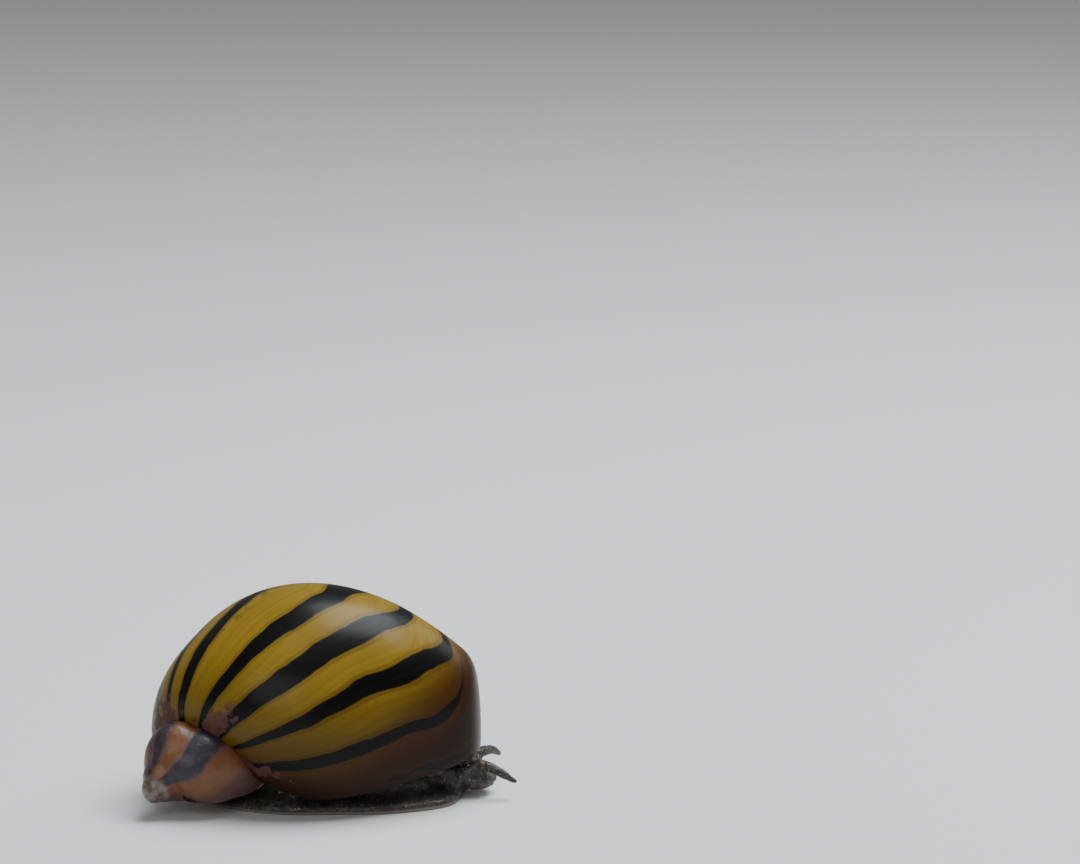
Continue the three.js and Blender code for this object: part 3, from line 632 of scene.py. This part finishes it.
# %% One skin over the flesh
FLESH = ["foot", "body_column", "head", "mantle_edge", "tentacle_right", "tentacle_left",
         "eye_stalk_right", "eye_stalk_left"]
SWELL = 0.21 * MM
EYES = {"eye_right": Vector((-3.09, -8.40, 2.31)) * MM, "eye_left": Vector((1.91, -8.40, 2.31)) * MM}
EYE_R = 0.27 * MM
EYE_LOOK = {"eye_right": np.array([-0.75, -0.45, 0.48]), "eye_left": np.array([0.75, -0.45, 0.48])}
SEAT_BACK, SEAT_R = 0.12, 0.33
SKIN_GRID = 0.1 * MM
HIDDEN_BACK, HIDDEN_HIGH, HIDDEN_ROUNDS = (-7.7 * MM, -7.0 * MM), (0.2 * MM, 0.5 * MM), 30

parts = [copy_of(nodes[name], "swollen_" + name) for name in FLESH]
for part in parts:
    finish_modifier(part, "REMESH", mode="VOXEL", voxel_size=SKIN_GRID)
    finish_modifier(part, "SMOOTH", factor=0.5, iterations=4)
    finish_modifier(part, "DISPLACE", strength=SWELL, mid_level=0)
for name, centre in EYES.items():
    seat = np.array(centre) / MM - EYE_LOOK[name] * SEAT_BACK
    parts.append(egg("socket", seat, np.full(3, (SEAT_R + SWELL / MM))))
skin = melt(parts, "soft_body")
finish_modifier(skin, "REMESH", mode="VOXEL", voxel_size=SKIN_GRID)
finish_modifier(skin, "SMOOTH", factor=0.5, iterations=3)
finish_modifier(skin, "DISPLACE", strength=-SWELL, mid_level=0)
finish_modifier(skin, "SMOOTH", factor=0.5, iterations=4)
hidden = ease(places(skin)[:, 1], *HIDDEN_BACK) * ease(places(skin)[:, 2], *HIDDEN_HIGH)
smooth_where(skin, hidden, HIDDEN_ROUNDS)
print("skin faces:", len(skin.data.polygons))

# %% [markdown]
# A snail's skin is never smooth. It is thrown into small warts and folds, least on the sole.
# A cloud texture lifts them, and the sole stays flat where it touches the floor.

# %% Warts and folds
WARTS_WIDE, WARTS_HIGH = 0.32, 0.09
ABOVE_SOLE, SOLE_LEVELS = (0.10 * MM, 0.45 * MM), 10
clouds = bpy.data.textures.new("warts", "CLOUDS")
clouds.noise_scale = WARTS_WIDE * MM
clouds.noise_depth = 2
weigh(skin, "upper", ease(places(skin)[:, 2], *ABOVE_SOLE), SOLE_LEVELS)
finish_modifier(skin, "DISPLACE", texture=clouds, texture_coords="LOCAL", strength=WARTS_HIGH * MM,
                mid_level=0.5, vertex_group="upper")
skin.vertex_groups.clear()
print("highest point of the skin mm:", round(float(places(skin)[:, 2].max()) / MM, 2))

# %% [markdown]
# The head ends in a blunt snout. Its mouth is an upright slit low on the front, between two soft
# lips, under a fold across the snout, and shallow wrinkles cross the nape. The faces by the mouth
# are divided once more. Vertices are pressed in along slit, fold and wrinkles, and the lips are
# raised beside the slit. All places are in millimetres from the middle of the snout.

# %% The mouth
SNOUT = np.array([-0.59, -9.066, 1.02])
SLIT_DEEP, SLIT_WIDE = 0.20, 0.07
SLIT_UP, SLIT_ALONG = (-0.95, -0.42, 0.12), (-2.0, -0.6, 0.15)
LIPS_HIGH, LIPS_APART, LIPS_WIDE = 0.03, 0.2, 0.1
FOLD_DEEP, FOLD_WIDE, FOLD_AT = 0.10, 0.07, -0.23
FOLD_ACROSS, FOLD_ALONG = (-0.95, 0.95, 0.2), (-2.0, -0.5, 0.15)
WRINKLE_DEEP, WRINKLE_EVERY = 0.06, 0.46
WRINKLE_ALONG, WRINKLE_ACROSS, WRINKLE_UP = (-0.5, 1.7, 0.3), (-1.9, 1.9, 0.3), (-0.5, 0.1)
FINER_ACROSS, FINER_BEFORE, FINER_AT, FINER_UP = 1.1, -0.2, -0.5, 0.75


def groove(distance, wide):
    """1 on a line, fading to both sides."""
    return np.exp(-((distance / wide) ** 2))


off = places(skin) / MM - SNOUT
near = (np.abs(off[:, 0]) < FINER_ACROSS) & (off[:, 1] < FINER_BEFORE)
near &= np.abs(off[:, 2] - FINER_AT) < FINER_UP
pick(skin)
bpy.ops.object.mode_set(mode="EDIT")
bpy.ops.mesh.select_mode(type="VERT")
bpy.ops.mesh.select_all(action="DESELECT")
bpy.ops.object.mode_set(mode="OBJECT")
skin.data.vertices.foreach_set("select", near)
bpy.ops.object.mode_set(mode="EDIT")
bpy.ops.mesh.subdivide(number_cuts=1, smoothness=0)
bpy.ops.object.mode_set(mode="OBJECT")
spots = places(skin) / MM
off = spots - SNOUT
outward = np.empty(len(spots) * 3)
skin.data.vertices.foreach_get("normal", outward)
outward = outward.reshape(-1, 3)
across, along, up = off.T
slit = window(up, *SLIT_UP) * window(along, *SLIT_ALONG)
dent = -SLIT_DEEP * groove(across, SLIT_WIDE) * slit
dent += LIPS_HIGH * groove(np.abs(across) - LIPS_APART, LIPS_WIDE) * slit
wrinkles = window(along, *WRINKLE_ALONG) * window(across, *WRINKLE_ACROSS) * ease(up, *WRINKLE_UP)
dent -= WRINKLE_DEEP * (0.5 + 0.5 * np.cos(2 * np.pi * along / WRINKLE_EVERY)) * wrinkles
fold = window(across, *FOLD_ACROSS) * window(along, *FOLD_ALONG)
dent -= FOLD_DEEP * groove(up - FOLD_AT, FOLD_WIDE) * fold
move_to(skin, (spots + outward * dent[:, None]) * MM)
print("mouth pressed in by mm:", round(float(-dent.min()), 2), " skin faces:", len(skin.data.polygons))

# %% [markdown]
# A snail's eye is a small black bead set in the end of its stalk, with only the front half
# showing. It starts as a ball, and its cornea is drawn out a little toward where the eye looks.

# %% The eyes
CORNEA, CORNEA_FROM = 0.07, 0.45
eyes = []
for name, centre in EYES.items():
    middle = np.array(centre) / MM
    eye = egg(name + "_ball", middle, np.full(3, EYE_R / MM))
    rays = places(eye) / MM - middle
    facing = rays @ EYE_LOOK[name] / np.linalg.norm(rays, axis=1)
    longer = 1 + CORNEA * ease(facing, CORNEA_FROM, 1.0)
    move_to(eye, (middle + rays * longer[:, None]) * MM)
    eyes.append(eye)
print("eyes:", [eye.name for eye in eyes], " each mm across:", 2 * EYE_R / MM)

# %% [markdown]
# The deck's solid already has its teeth, so a fine remesh and a little smoothing only take the
# hard edges off it. The lid is a thin plate, and its edges are bevelled.

# %% The deck and the lid
DECK_GRID = 0.1 * MM
LID_EDGE = 0.12 * MM
LID_ANGLE = 0.7
deck = copy_of(nodes["columellar_deck"], "toothed_deck")
finish_modifier(deck, "REMESH", mode="VOXEL", voxel_size=DECK_GRID)
finish_modifier(deck, "SMOOTH", factor=0.5, iterations=5)
lid = copy_of(nodes["operculum"], "lid")
finish_modifier(lid, "BEVEL", width=LID_EDGE, segments=3, limit_method="ANGLE", angle_limit=LID_ANGLE)
print("deck faces:", len(deck.data.polygons), " lid faces:", len(lid.data.polygons))

# %% [markdown]
# All these meshes are made of small flat faces. Smooth shading lets light run over them evenly,
# and edges sharper than the given angle, as at the rim of the mouth, stay crisp.

# %% Smooth shading
SHARP = math.radians(38)
pieces = [shell, spire, skin, deck, lid, *eyes]
for piece in pieces:
    pick(piece)
    bpy.ops.object.shade_smooth_by_angle(angle=SHARP)
print("pieces shaded smooth:", len(pieces))

# %% [markdown]
# ## Finishes
#
# Every surface gets a material made of nodes. The small class below wraps a socket, so that
# shader maths can be written as plain sums, and one method adds any other node. All patterns
# are measured in millimetres of the object's own space, or read the attributes stored above.

# %% Shader maths
class Value:
    """One socket of a shader. Sums with it add Math nodes."""

    def __init__(self, finish, socket):
        self.finish = finish
        self.socket = socket

    def math(self, operation, *others):
        inputs = dict(enumerate((self, *others)))
        return self.finish.node("Math", {"operation": operation}, inputs)

    def __add__(self, other):
        return self.math("ADD", other)

    def __mul__(self, other):
        return self.math("MULTIPLY", other)

    def __sub__(self, other):
        return self.math("SUBTRACT", other)

    def __rsub__(self, other):
        return self * -1 + other

    def __abs__(self):
        return self.math("ABSOLUTE")

    __radd__ = __add__
    __rmul__ = __mul__

    def lowest(self, other):
        return self.math("MINIMUM", other)

    def highest(self, other):
        return self.math("MAXIMUM", other)

    def rise(self, low, high):
        """0 below low, 1 above high, smooth between."""
        inputs = {"Value": self, "From Min": low, "From Max": high}
        return self.finish.node("MapRange", {"interpolation_type": "SMOOTHSTEP"}, inputs)

    def band(self, low, high, soft):
        """1 between low and high, with soft edges."""
        return self.rise(low - soft, low + soft) * (1 - self.rise(high - soft, high + soft))


class Finish:
    """A material, its shader, and the nodes that feed it."""

    def __init__(self, name, **constants):
        self.material = bpy.data.materials.new(name)
        self.material.use_nodes = True
        self.tree = self.material.node_tree
        self.shader = self.tree.nodes["Principled BSDF"]
        self.set(**constants)
        mapping = {"Vector": self.node("TexCoord", {}, {}, "Object"), "Scale": (1 / MM,) * 3}
        self.mm = self.node("Mapping", {}, mapping)

    def set(self, **values):
        """Sets or links sockets of the shader. Their names are written with _ for a space."""
        for key, value in values.items():
            self.feed(self.shader.inputs[key.replace("_", " ")], value)

    def feed(self, socket, value):
        if isinstance(value, Value):
            self.tree.links.new(value.socket, socket)
        else:
            socket.default_value = value

    def node(self, kind, settings, inputs, output=0):
        """Adds any node: its settings first, then the values or links of its sockets."""
        made = self.tree.nodes.new("ShaderNode" + kind)
        for key, value in settings.items():
            setattr(made, key, value)
        for key, value in inputs.items():
            self.feed(made.inputs[key], value)
        return Value(self, made.outputs[output])

    def attribute(self, name):
        return self.node("Attribute", {"attribute_name": name}, {}, "Fac")

    def noise(self, size, detail=2, rough=0.5, where=None, shift=0):
        """Noise from 0 to 1 whose patches are about size millimetres across."""
        place = where or self.mm
        if shift:
            place = self.node("VectorMath", {"operation": "ADD"}, {0: place, 1: (shift, -shift, 2 * shift)})
        inputs = {"Vector": place, "Scale": 1 / size, "Detail": detail, "Roughness": rough}
        return self.node("TexNoise", {}, inputs)

    def mix(self, factor, a, b):
        """A colour between a and b."""
        settings = {"data_type": "RGBA", "clamp_factor": True}
        inputs = {0: factor, 6: a, 7: b}
        return self.node("Mix", settings, inputs, 2)

    def vector(self, x, y, z):
        return self.node("CombineXYZ", {}, {"X": x, "Y": y, "Z": z})

    def parts(self):
        """The three object coordinates in millimetres."""
        split = self.node("SeparateXYZ", {}, {0: self.mm}).socket.node
        return [Value(self, out) for out in split.outputs]

    def reach(self, centre):
        """Distance in millimetres from a point, or from an upright line if only x and y are given."""
        squares = [(part - at).math("POWER", 2) for part, at in zip(self.parts(), centre)]
        return sum(squares[1:], squares[0]).math("SQRT")

    def bump(self, height, depth):
        """A relief of the given depth in millimetres where height goes from 0 to 1."""
        inputs = {"Height": height, "Distance": depth * MM, "Strength": 1}
        self.set(Normal=self.node("Bump", {}, inputs))

    def on(self, piece):
        """Gives a piece this material and nothing else."""
        piece.data.materials.clear()
        piece.data.materials.append(self.material)
        print(self.material.name, "on", piece.name, " nodes:", len(self.tree.nodes))


def colour(red, green, blue):
    """A colour from the 0 to 255 numbers of a colour picker."""
    def linear(v):
        v = v / 255
        return v / 12.92 if v <= 0.04045 else ((v + 0.055) / 1.055) ** 2.4
    return (linear(red), linear(green), linear(blue), 1)


# %% [markdown]
# ### The striped shell
#
# Each stripe is a band of growth angles: its middle, its half width, and how much it widens on
# its way from the seam. The distance to the nearest stripe, with a little noise, gives one mask.
# Older stripes than the listed ones repeat evenly, and a few thin wavy ones lie near the lip.
# Gold turns to amber and red-brown toward the lip and the base, where the shell is newest, and these tints
# are partly painted shade. Painted shade also darkens the gold low on the near side and at the bottom.
# The mouth's lining has no stripes and is pale.

# %% Striped shell
STRIPES = [(-30, 3.4, 0), (-9, 2.4, 0), (9.2, 4.3, 0), (36.6, 4.4, 0.9), (58.2, 4.9, 0.1), (79.4, 3.5, 0.9),
           (100.2, 2.8, -0.8)]
LIP_STRIPE, LIP_HALF, LIP_WIDEN, LIP_EVERY, LIP_COUNT = 117.4, 1.0, 0.4, 15, 4
OLD_EVERY, OLD_HALF, OLD_SHIFT, OLD_END = 21, 3.6, 41, (-44, -36)
NO_STRIPE = 30
TAPER, TAPER_PLACES = 1.6, (2.15, 2.8)

striped = Finish("striped_shell", Coat_Weight=0.07, Coat_Roughness=0.2, IOR=1.45, Specular_IOR_Level=0.13)
grown = striped.attribute("growth")
place = striped.attribute("place")
pattern = striped.attribute("pattern")
wobble = (striped.noise(3.0) - 0.5) * 3.6 + (striped.noise(0.8, shift=5) - 0.5) * 0.7
drawn = pattern + wobble
taper = place.rise(*TAPER_PLACES) * TAPER
beyond = None
for middle, half, widen in STRIPES:
    miss = abs(drawn - middle) - ((place - 1.2) * widen + half) + taper
    beyond = miss if beyond is None else beyond.lowest(miss)
lip_drawn = drawn + (striped.noise(1.1, shift=13) - 0.5) * 5
for number in range(LIP_COUNT):
    lip_stripe = abs(lip_drawn - (LIP_STRIPE + LIP_EVERY * number)) - (LIP_HALF + LIP_WIDEN * number)
    beyond = beyond.lowest(lip_stripe + (1 - place.rise(0.8, 1.3)) * 4)
old_ones = abs((drawn + OLD_SHIFT).math("PINGPONG", OLD_EVERY / 2) - OLD_EVERY / 2) - OLD_HALF
old_ones = old_ones + drawn.rise(*OLD_END) * NO_STRIPE
beyond = beyond.lowest(old_ones)
black = 1 - beyond.rise(-0.45, 0.45)

along = striped.vector(grown * 0.5, place * 0.5, 0)
streaks = striped.noise(1, detail=3, rough=0.5, where=along)
fine = striped.noise(0.2, detail=2, where=striped.vector(grown * 0.5, place * 0.25, 0))
x, y, z = striped.parts()
# Near side: the snail's right side, toward the camera, where the painted shade and the lip tints below are
# laid.
near_side = 1 - x.rise(-1.0, 3.5) * 0.85


def toward_lip_and_shade(lean, full, none):
    """1 at the front of the right side, less toward the back, along a leaning line."""
    return (1 - (y + (z - 8) * lean).rise(full, none)) * near_side


# Amber and red-brown toward the lip and low down: the new shell's own tints, partly painted shade on the
# near side.
amber_and_shade = toward_lip_and_shade(0.9, -8.0, -3.0)
deep_red_and_shade = toward_lip_and_shade(0.5, -10.0, -6.8)
# Painted shade: the gold is darker low on the near side's flank and darkest at the bottom, as light falls
# from above.
low = (1 - z.rise(3.0, 10.0)) * near_side
lowest = 1 - z.rise(1.6, 4.8)
gold = striped.mix(streaks.rise(0.2, 0.85), colour(114, 89, 18), colour(128, 102, 28))
gold = striped.mix(low, gold, colour(64, 45, 3))
gold = striped.mix(lowest * 0.85, gold, colour(56, 26, 2))
gold = striped.mix(amber_and_shade * 0.9, gold, colour(52, 23, 1))
gold = striped.mix(deep_red_and_shade * 0.95, gold, colour(27, 6, 2))
# The newest shell at the lip is dark red-brown, made darker still as painted shade.
newest_and_shade = (grown.rise(100, 120) * near_side).highest(amber_and_shade * lowest)
gold = striped.mix(newest_and_shade * 0.85, gold, colour(23, 6, 2))
edge_glow = beyond.band(0.2, 1.6, 0.6) * 0.35
gold = striped.mix(edge_glow, gold, colour(48, 22, 3))
dark = striped.mix(streaks.rise(0.35, 0.8), colour(3, 2, 3), colour(10, 7, 8))
smudge = pattern.band(12, 18, 4) * place.rise(0.9, 1.4)
smudge = smudge * striped.noise(0.7, detail=3, shift=21).rise(0.46, 0.6)
paint = striped.mix(black, gold, dark)
paint = striped.mix(smudge * 0.6, paint, colour(58, 32, 14))
lines = fine.rise(0.35, 0.75) * (grown.rise(98, 112) * 0.25 + 0.06)
paint = striped.mix(lines, paint, colour(36, 16, 8))
scars = grown.band(-40, 2, 5).highest(grown.band(42, 64, 3)).highest(grown.band(100, 116, 5) * 0.6)
worn = striped.noise(0.6, detail=3, shift=9) + (0.16 - place) * 0.8 + scars * 0.27
worn = worn.rise(0.62, 0.7) * (1 - place.rise(0.3, 0.5))
mauve = striped.mix(striped.noise(0.4), colour(58, 32, 31), colour(90, 57, 55))
paint = striped.mix(worn * 0.9, paint, mauve)
pearl = striped.mix(striped.noise(1.6, detail=3), colour(170, 160, 138), colour(128, 116, 96))
paint = striped.mix(striped.attribute("lining"), paint, pearl)
striped.set(Base_Color=paint, Roughness=worn * 0.25 + fine * 0.04 + 0.33)
striped.bump(fine * 0.4 + streaks * 0.2 + worn * -0.4, 0.02)
striped.on(shell)

# %% [markdown]
# ### The worn whorls and the bald tip
#
# The older whorls carry bands of orange and slate on a mauve ground, scuffed and clouded. A band
# is given by its two growth angles, how soft its edges are, and how strong it is.
# At the tip all colour is gone, and the bare shell is grey and pitted.

# %% Worn whorls
OLD_BANDS = [(-326, -300, 4, 1, "orange"), (-262, -232, 4, 1, "orange"), (-345, -331, 3, 0.9, "slate"),
             (-298, -266, 3, 0.95, "slate"), (-420, -395, 4, 0.8, "slate")]
BALD_AT, BALD_EDGE = (-6.0, 11.15, 1.8), (0.95, 1.3)

worn_shell = Finish("worn_shell", Coat_Weight=0.1, Coat_Roughness=0.3, IOR=1.45, Specular_IOR_Level=0.4)
drawn = worn_shell.attribute("pattern")
drawn = drawn + (worn_shell.noise(1.6) - 0.5) * 8 + (worn_shell.noise(0.5, shift=4) - 0.5) * 5
base = worn_shell.mix(worn_shell.noise(0.9, detail=4), colour(66, 42, 38), colour(92, 64, 58))
orange = worn_shell.mix(worn_shell.noise(0.6), colour(88, 50, 24), colour(108, 68, 36))
slate = worn_shell.mix(worn_shell.noise(0.7, shift=3), colour(20, 17, 25), colour(42, 38, 52))
tints = {"orange": orange, "slate": slate}
paint = base
for start, end, soft, share, tint in OLD_BANDS:
    paint = worn_shell.mix(drawn.band(start, end, soft) * share, paint, tints[tint])
scuff = worn_shell.noise(0.45, detail=5, rough=0.65, shift=7).rise(0.5, 0.72)
paint = worn_shell.mix(scuff * 0.25, paint, colour(104, 80, 76))
far = worn_shell.reach(BALD_AT)
bare = 1 - (far + (worn_shell.noise(0.6, detail=3) - 0.5) * 0.5).rise(*BALD_EDGE)
cloud = worn_shell.noise(0.5, detail=4, shift=11)
pits = worn_shell.noise(0.16, detail=3, shift=2).rise(0.56, 0.7)
bald = worn_shell.mix(cloud.rise(0.3, 0.7), colour(70, 56, 52), colour(116, 104, 98))
bald = worn_shell.mix(pits * 0.5, bald, colour(44, 32, 30))
paint = worn_shell.mix(bare, paint, bald)
worn_shell.set(Base_Color=paint, Roughness=scuff * 0.2 + 0.36)
worn_shell.bump(scuff * -0.4 + cloud * bare * 0.8 + worn_shell.noise(0.3) * 0.5, 0.03)
worn_shell.on(spire)

# %% [markdown]
# ### Flesh, eyes, deck and lid
#
# The skin of the animal is dark grey, peppered with black and dotted with buff, and wet. The lips
# and the sole are paler. The eyes are black. The deck in the mouth is like porcelain with a few
# stains, and the lid is a thin stony plate that grew in arcs from one corner.

# %% Skin
flesh = Finish("wet_skin", Coat_Weight=0.15, Coat_Roughness=0.2, Specular_IOR_Level=0.3,
               Subsurface_Weight=0.1, Subsurface_Scale=0.4 * MM)
_, y, z = flesh.parts()
mottle = flesh.noise(0.9, detail=4, rough=0.6)
pepper = flesh.noise(0.11, detail=3, rough=0.7, shift=3).rise(0.48, 0.58)
paint = flesh.mix(mottle.rise(0.3, 0.7), colour(38, 34, 33), colour(74, 66, 60))
paint = flesh.mix(pepper * 0.7, paint, colour(16, 14, 14))
dots = flesh.noise(0.14, detail=1, shift=8).rise(0.66, 0.72)
paint = flesh.mix(dots * 0.6, paint, colour(150, 136, 98))
lips = flesh.noise(0.5, detail=2, shift=12).rise(0.3, 0.6)
lips = lips * (1 - z.rise(0.5, 1.2)) * (1 - y.rise(-9.6, -9.0))
paint = flesh.mix(lips * 0.5, paint, colour(128, 112, 100))
sole = 1 - z.rise(0.08, 0.3)
paint = flesh.mix(sole * 0.8, paint, flesh.mix(mottle, colour(120, 110, 102), colour(158, 146, 134)))
flesh.set(Base_Color=paint, Roughness=mottle * 0.25 + pepper * 0.1 + 0.42)
flesh.bump(flesh.noise(0.09, detail=3, shift=6) + mottle * 0.4, 0.018)
flesh.on(skin)

# %% Eyes
pupil = Finish("eye_black", Roughness=0.1, Coat_Weight=0.1, Coat_Roughness=0.05, Specular_IOR_Level=0.25)
glint = pupil.noise(0.12, detail=2)
pupil.set(Base_Color=pupil.mix(glint.rise(0.4, 0.7), colour(6, 5, 6), colour(22, 17, 16)))
for eye in eyes:
    pupil.on(eye)

# %% Deck
porcelain = Finish("deck_porcelain", Coat_Weight=0.4, Coat_Roughness=0.1,
                   Subsurface_Weight=0.2, Subsurface_Scale=0.8 * MM)
stain = porcelain.noise(1.8, detail=4)
paint = porcelain.mix(stain.rise(0.35, 0.7), colour(214, 202, 176), colour(196, 168, 120))
spots = porcelain.noise(0.4, detail=2, shift=4).rise(0.6, 0.75)
paint = porcelain.mix(spots * 0.4, paint, colour(150, 118, 84))
porcelain.set(Base_Color=paint, Roughness=stain * 0.15 + 0.2)
porcelain.bump(porcelain.noise(0.5, detail=3), 0.02)
porcelain.on(deck)

# %% Lid
LID_CORNER = (-2.2, 4.2)
stony = Finish("lid_stone", Coat_Weight=0.2, Coat_Roughness=0.3)
arcs = stony.noise(1, detail=3, where=stony.vector(stony.reach(LID_CORNER) * 3.2, 0, 0))
paint = stony.mix(arcs.rise(0.35, 0.65), colour(86, 78, 68), colour(150, 134, 108))
paint = stony.mix(stony.noise(0.3, detail=4).rise(0.5, 0.7) * 0.4, paint, colour(56, 46, 42))
stony.set(Base_Color=paint, Roughness=arcs * 0.2 + 0.3)
stony.bump(arcs, 0.04)
stony.on(lid)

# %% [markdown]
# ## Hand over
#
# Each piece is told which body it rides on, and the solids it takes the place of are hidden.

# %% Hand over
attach(shell, "root")
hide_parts("shell_body_whorl")
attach(spire, "root")
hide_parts("shell_spire", "shell_apex")
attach(skin, "root")
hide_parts(*FLESH)
for eye, name in zip(eyes, EYES):
    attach(eye, "root")
    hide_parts(name)
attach(deck, "root")
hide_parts("columellar_deck")
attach(lid, "root")
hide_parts("operculum")
print("pieces handed over:", len(pieces))

# %% [markdown]
# ## Floor, light and camera
#
# The floor is plain and pale. One large lamp stands high above the front, with two weak ones to
# soften the shadows. The camera looks at the snail's right side from a little above, as the
# photograph does. It stands far off with a long lens, and it points past the snail by a small
# yaw and pitch, which puts the snail low and left in the picture, where the photograph has it.

# %% Floor
bpy.ops.object.select_all(action="DESELECT")
bpy.ops.mesh.primitive_plane_add(size=4)
floor = named("floor")
ground = Finish("pale_floor", Roughness=0.7)
ground.set(Base_Color=(0.62, 0.62, 0.61, 1))
ground.on(floor)

# %% Light
def soft_light(name, place, aim, size, power, tint=(1, 1, 1)):
    """A square area light turned to face a point."""
    bpy.ops.object.light_add(type="AREA", location=place)
    lamp = bpy.context.object
    lamp.name = name
    lamp.data.size = size
    lamp.data.energy = power
    lamp.data.color = tint
    lamp.rotation_euler = (Vector(aim) - Vector(place)).to_track_quat("-Z", "Y").to_euler()
    print("lamp", name, " watts:", power)


SNAIL = (0, 0, 0.006)
soft_light("key", (0.03, -0.11, 0.34), SNAIL, 0.26, 2.5, (0.90, 0.96, 1))
soft_light("fill", (-0.34, 0.12, 0.20), SNAIL, 0.26, 0.5)
soft_light("rim", (0.20, -0.26, 0.20), SNAIL, 0.16, 0.2)
world = bpy.data.worlds.new("studio")
bpy.context.scene.world = world
world.use_nodes = True
sky = world.node_tree.nodes["Background"]
sky.inputs["Color"].default_value = (0.80, 0.83, 0.86, 1)
sky.inputs["Strength"].default_value = 0.3

# %% Camera
SHELL_MIDDLE = Vector((-2.25, 0.94, 7.13)) * MM
DISTANCE = 281.25 * MM
VIEW_WAY = Vector((0.9703, 0, -0.2419))
YAW, PITCH = math.radians(2.93), math.radians(10.72)

look = Vector((math.cos(YAW) * math.cos(PITCH), -math.sin(YAW) * math.cos(PITCH), -math.sin(PITCH)))
bpy.ops.object.camera_add(location=SHELL_MIDDLE - DISTANCE * VIEW_WAY)
camera = bpy.context.object
camera.rotation_euler = look.to_track_quat("-Z", "Y").to_euler()
camera.data.lens = 150
camera.data.sensor_width = 36
camera.data.clip_start = 0.01
camera.data.clip_end = 20
bpy.context.scene.camera = camera
print("camera at mm:", [round(v / MM, 1) for v in camera.location])
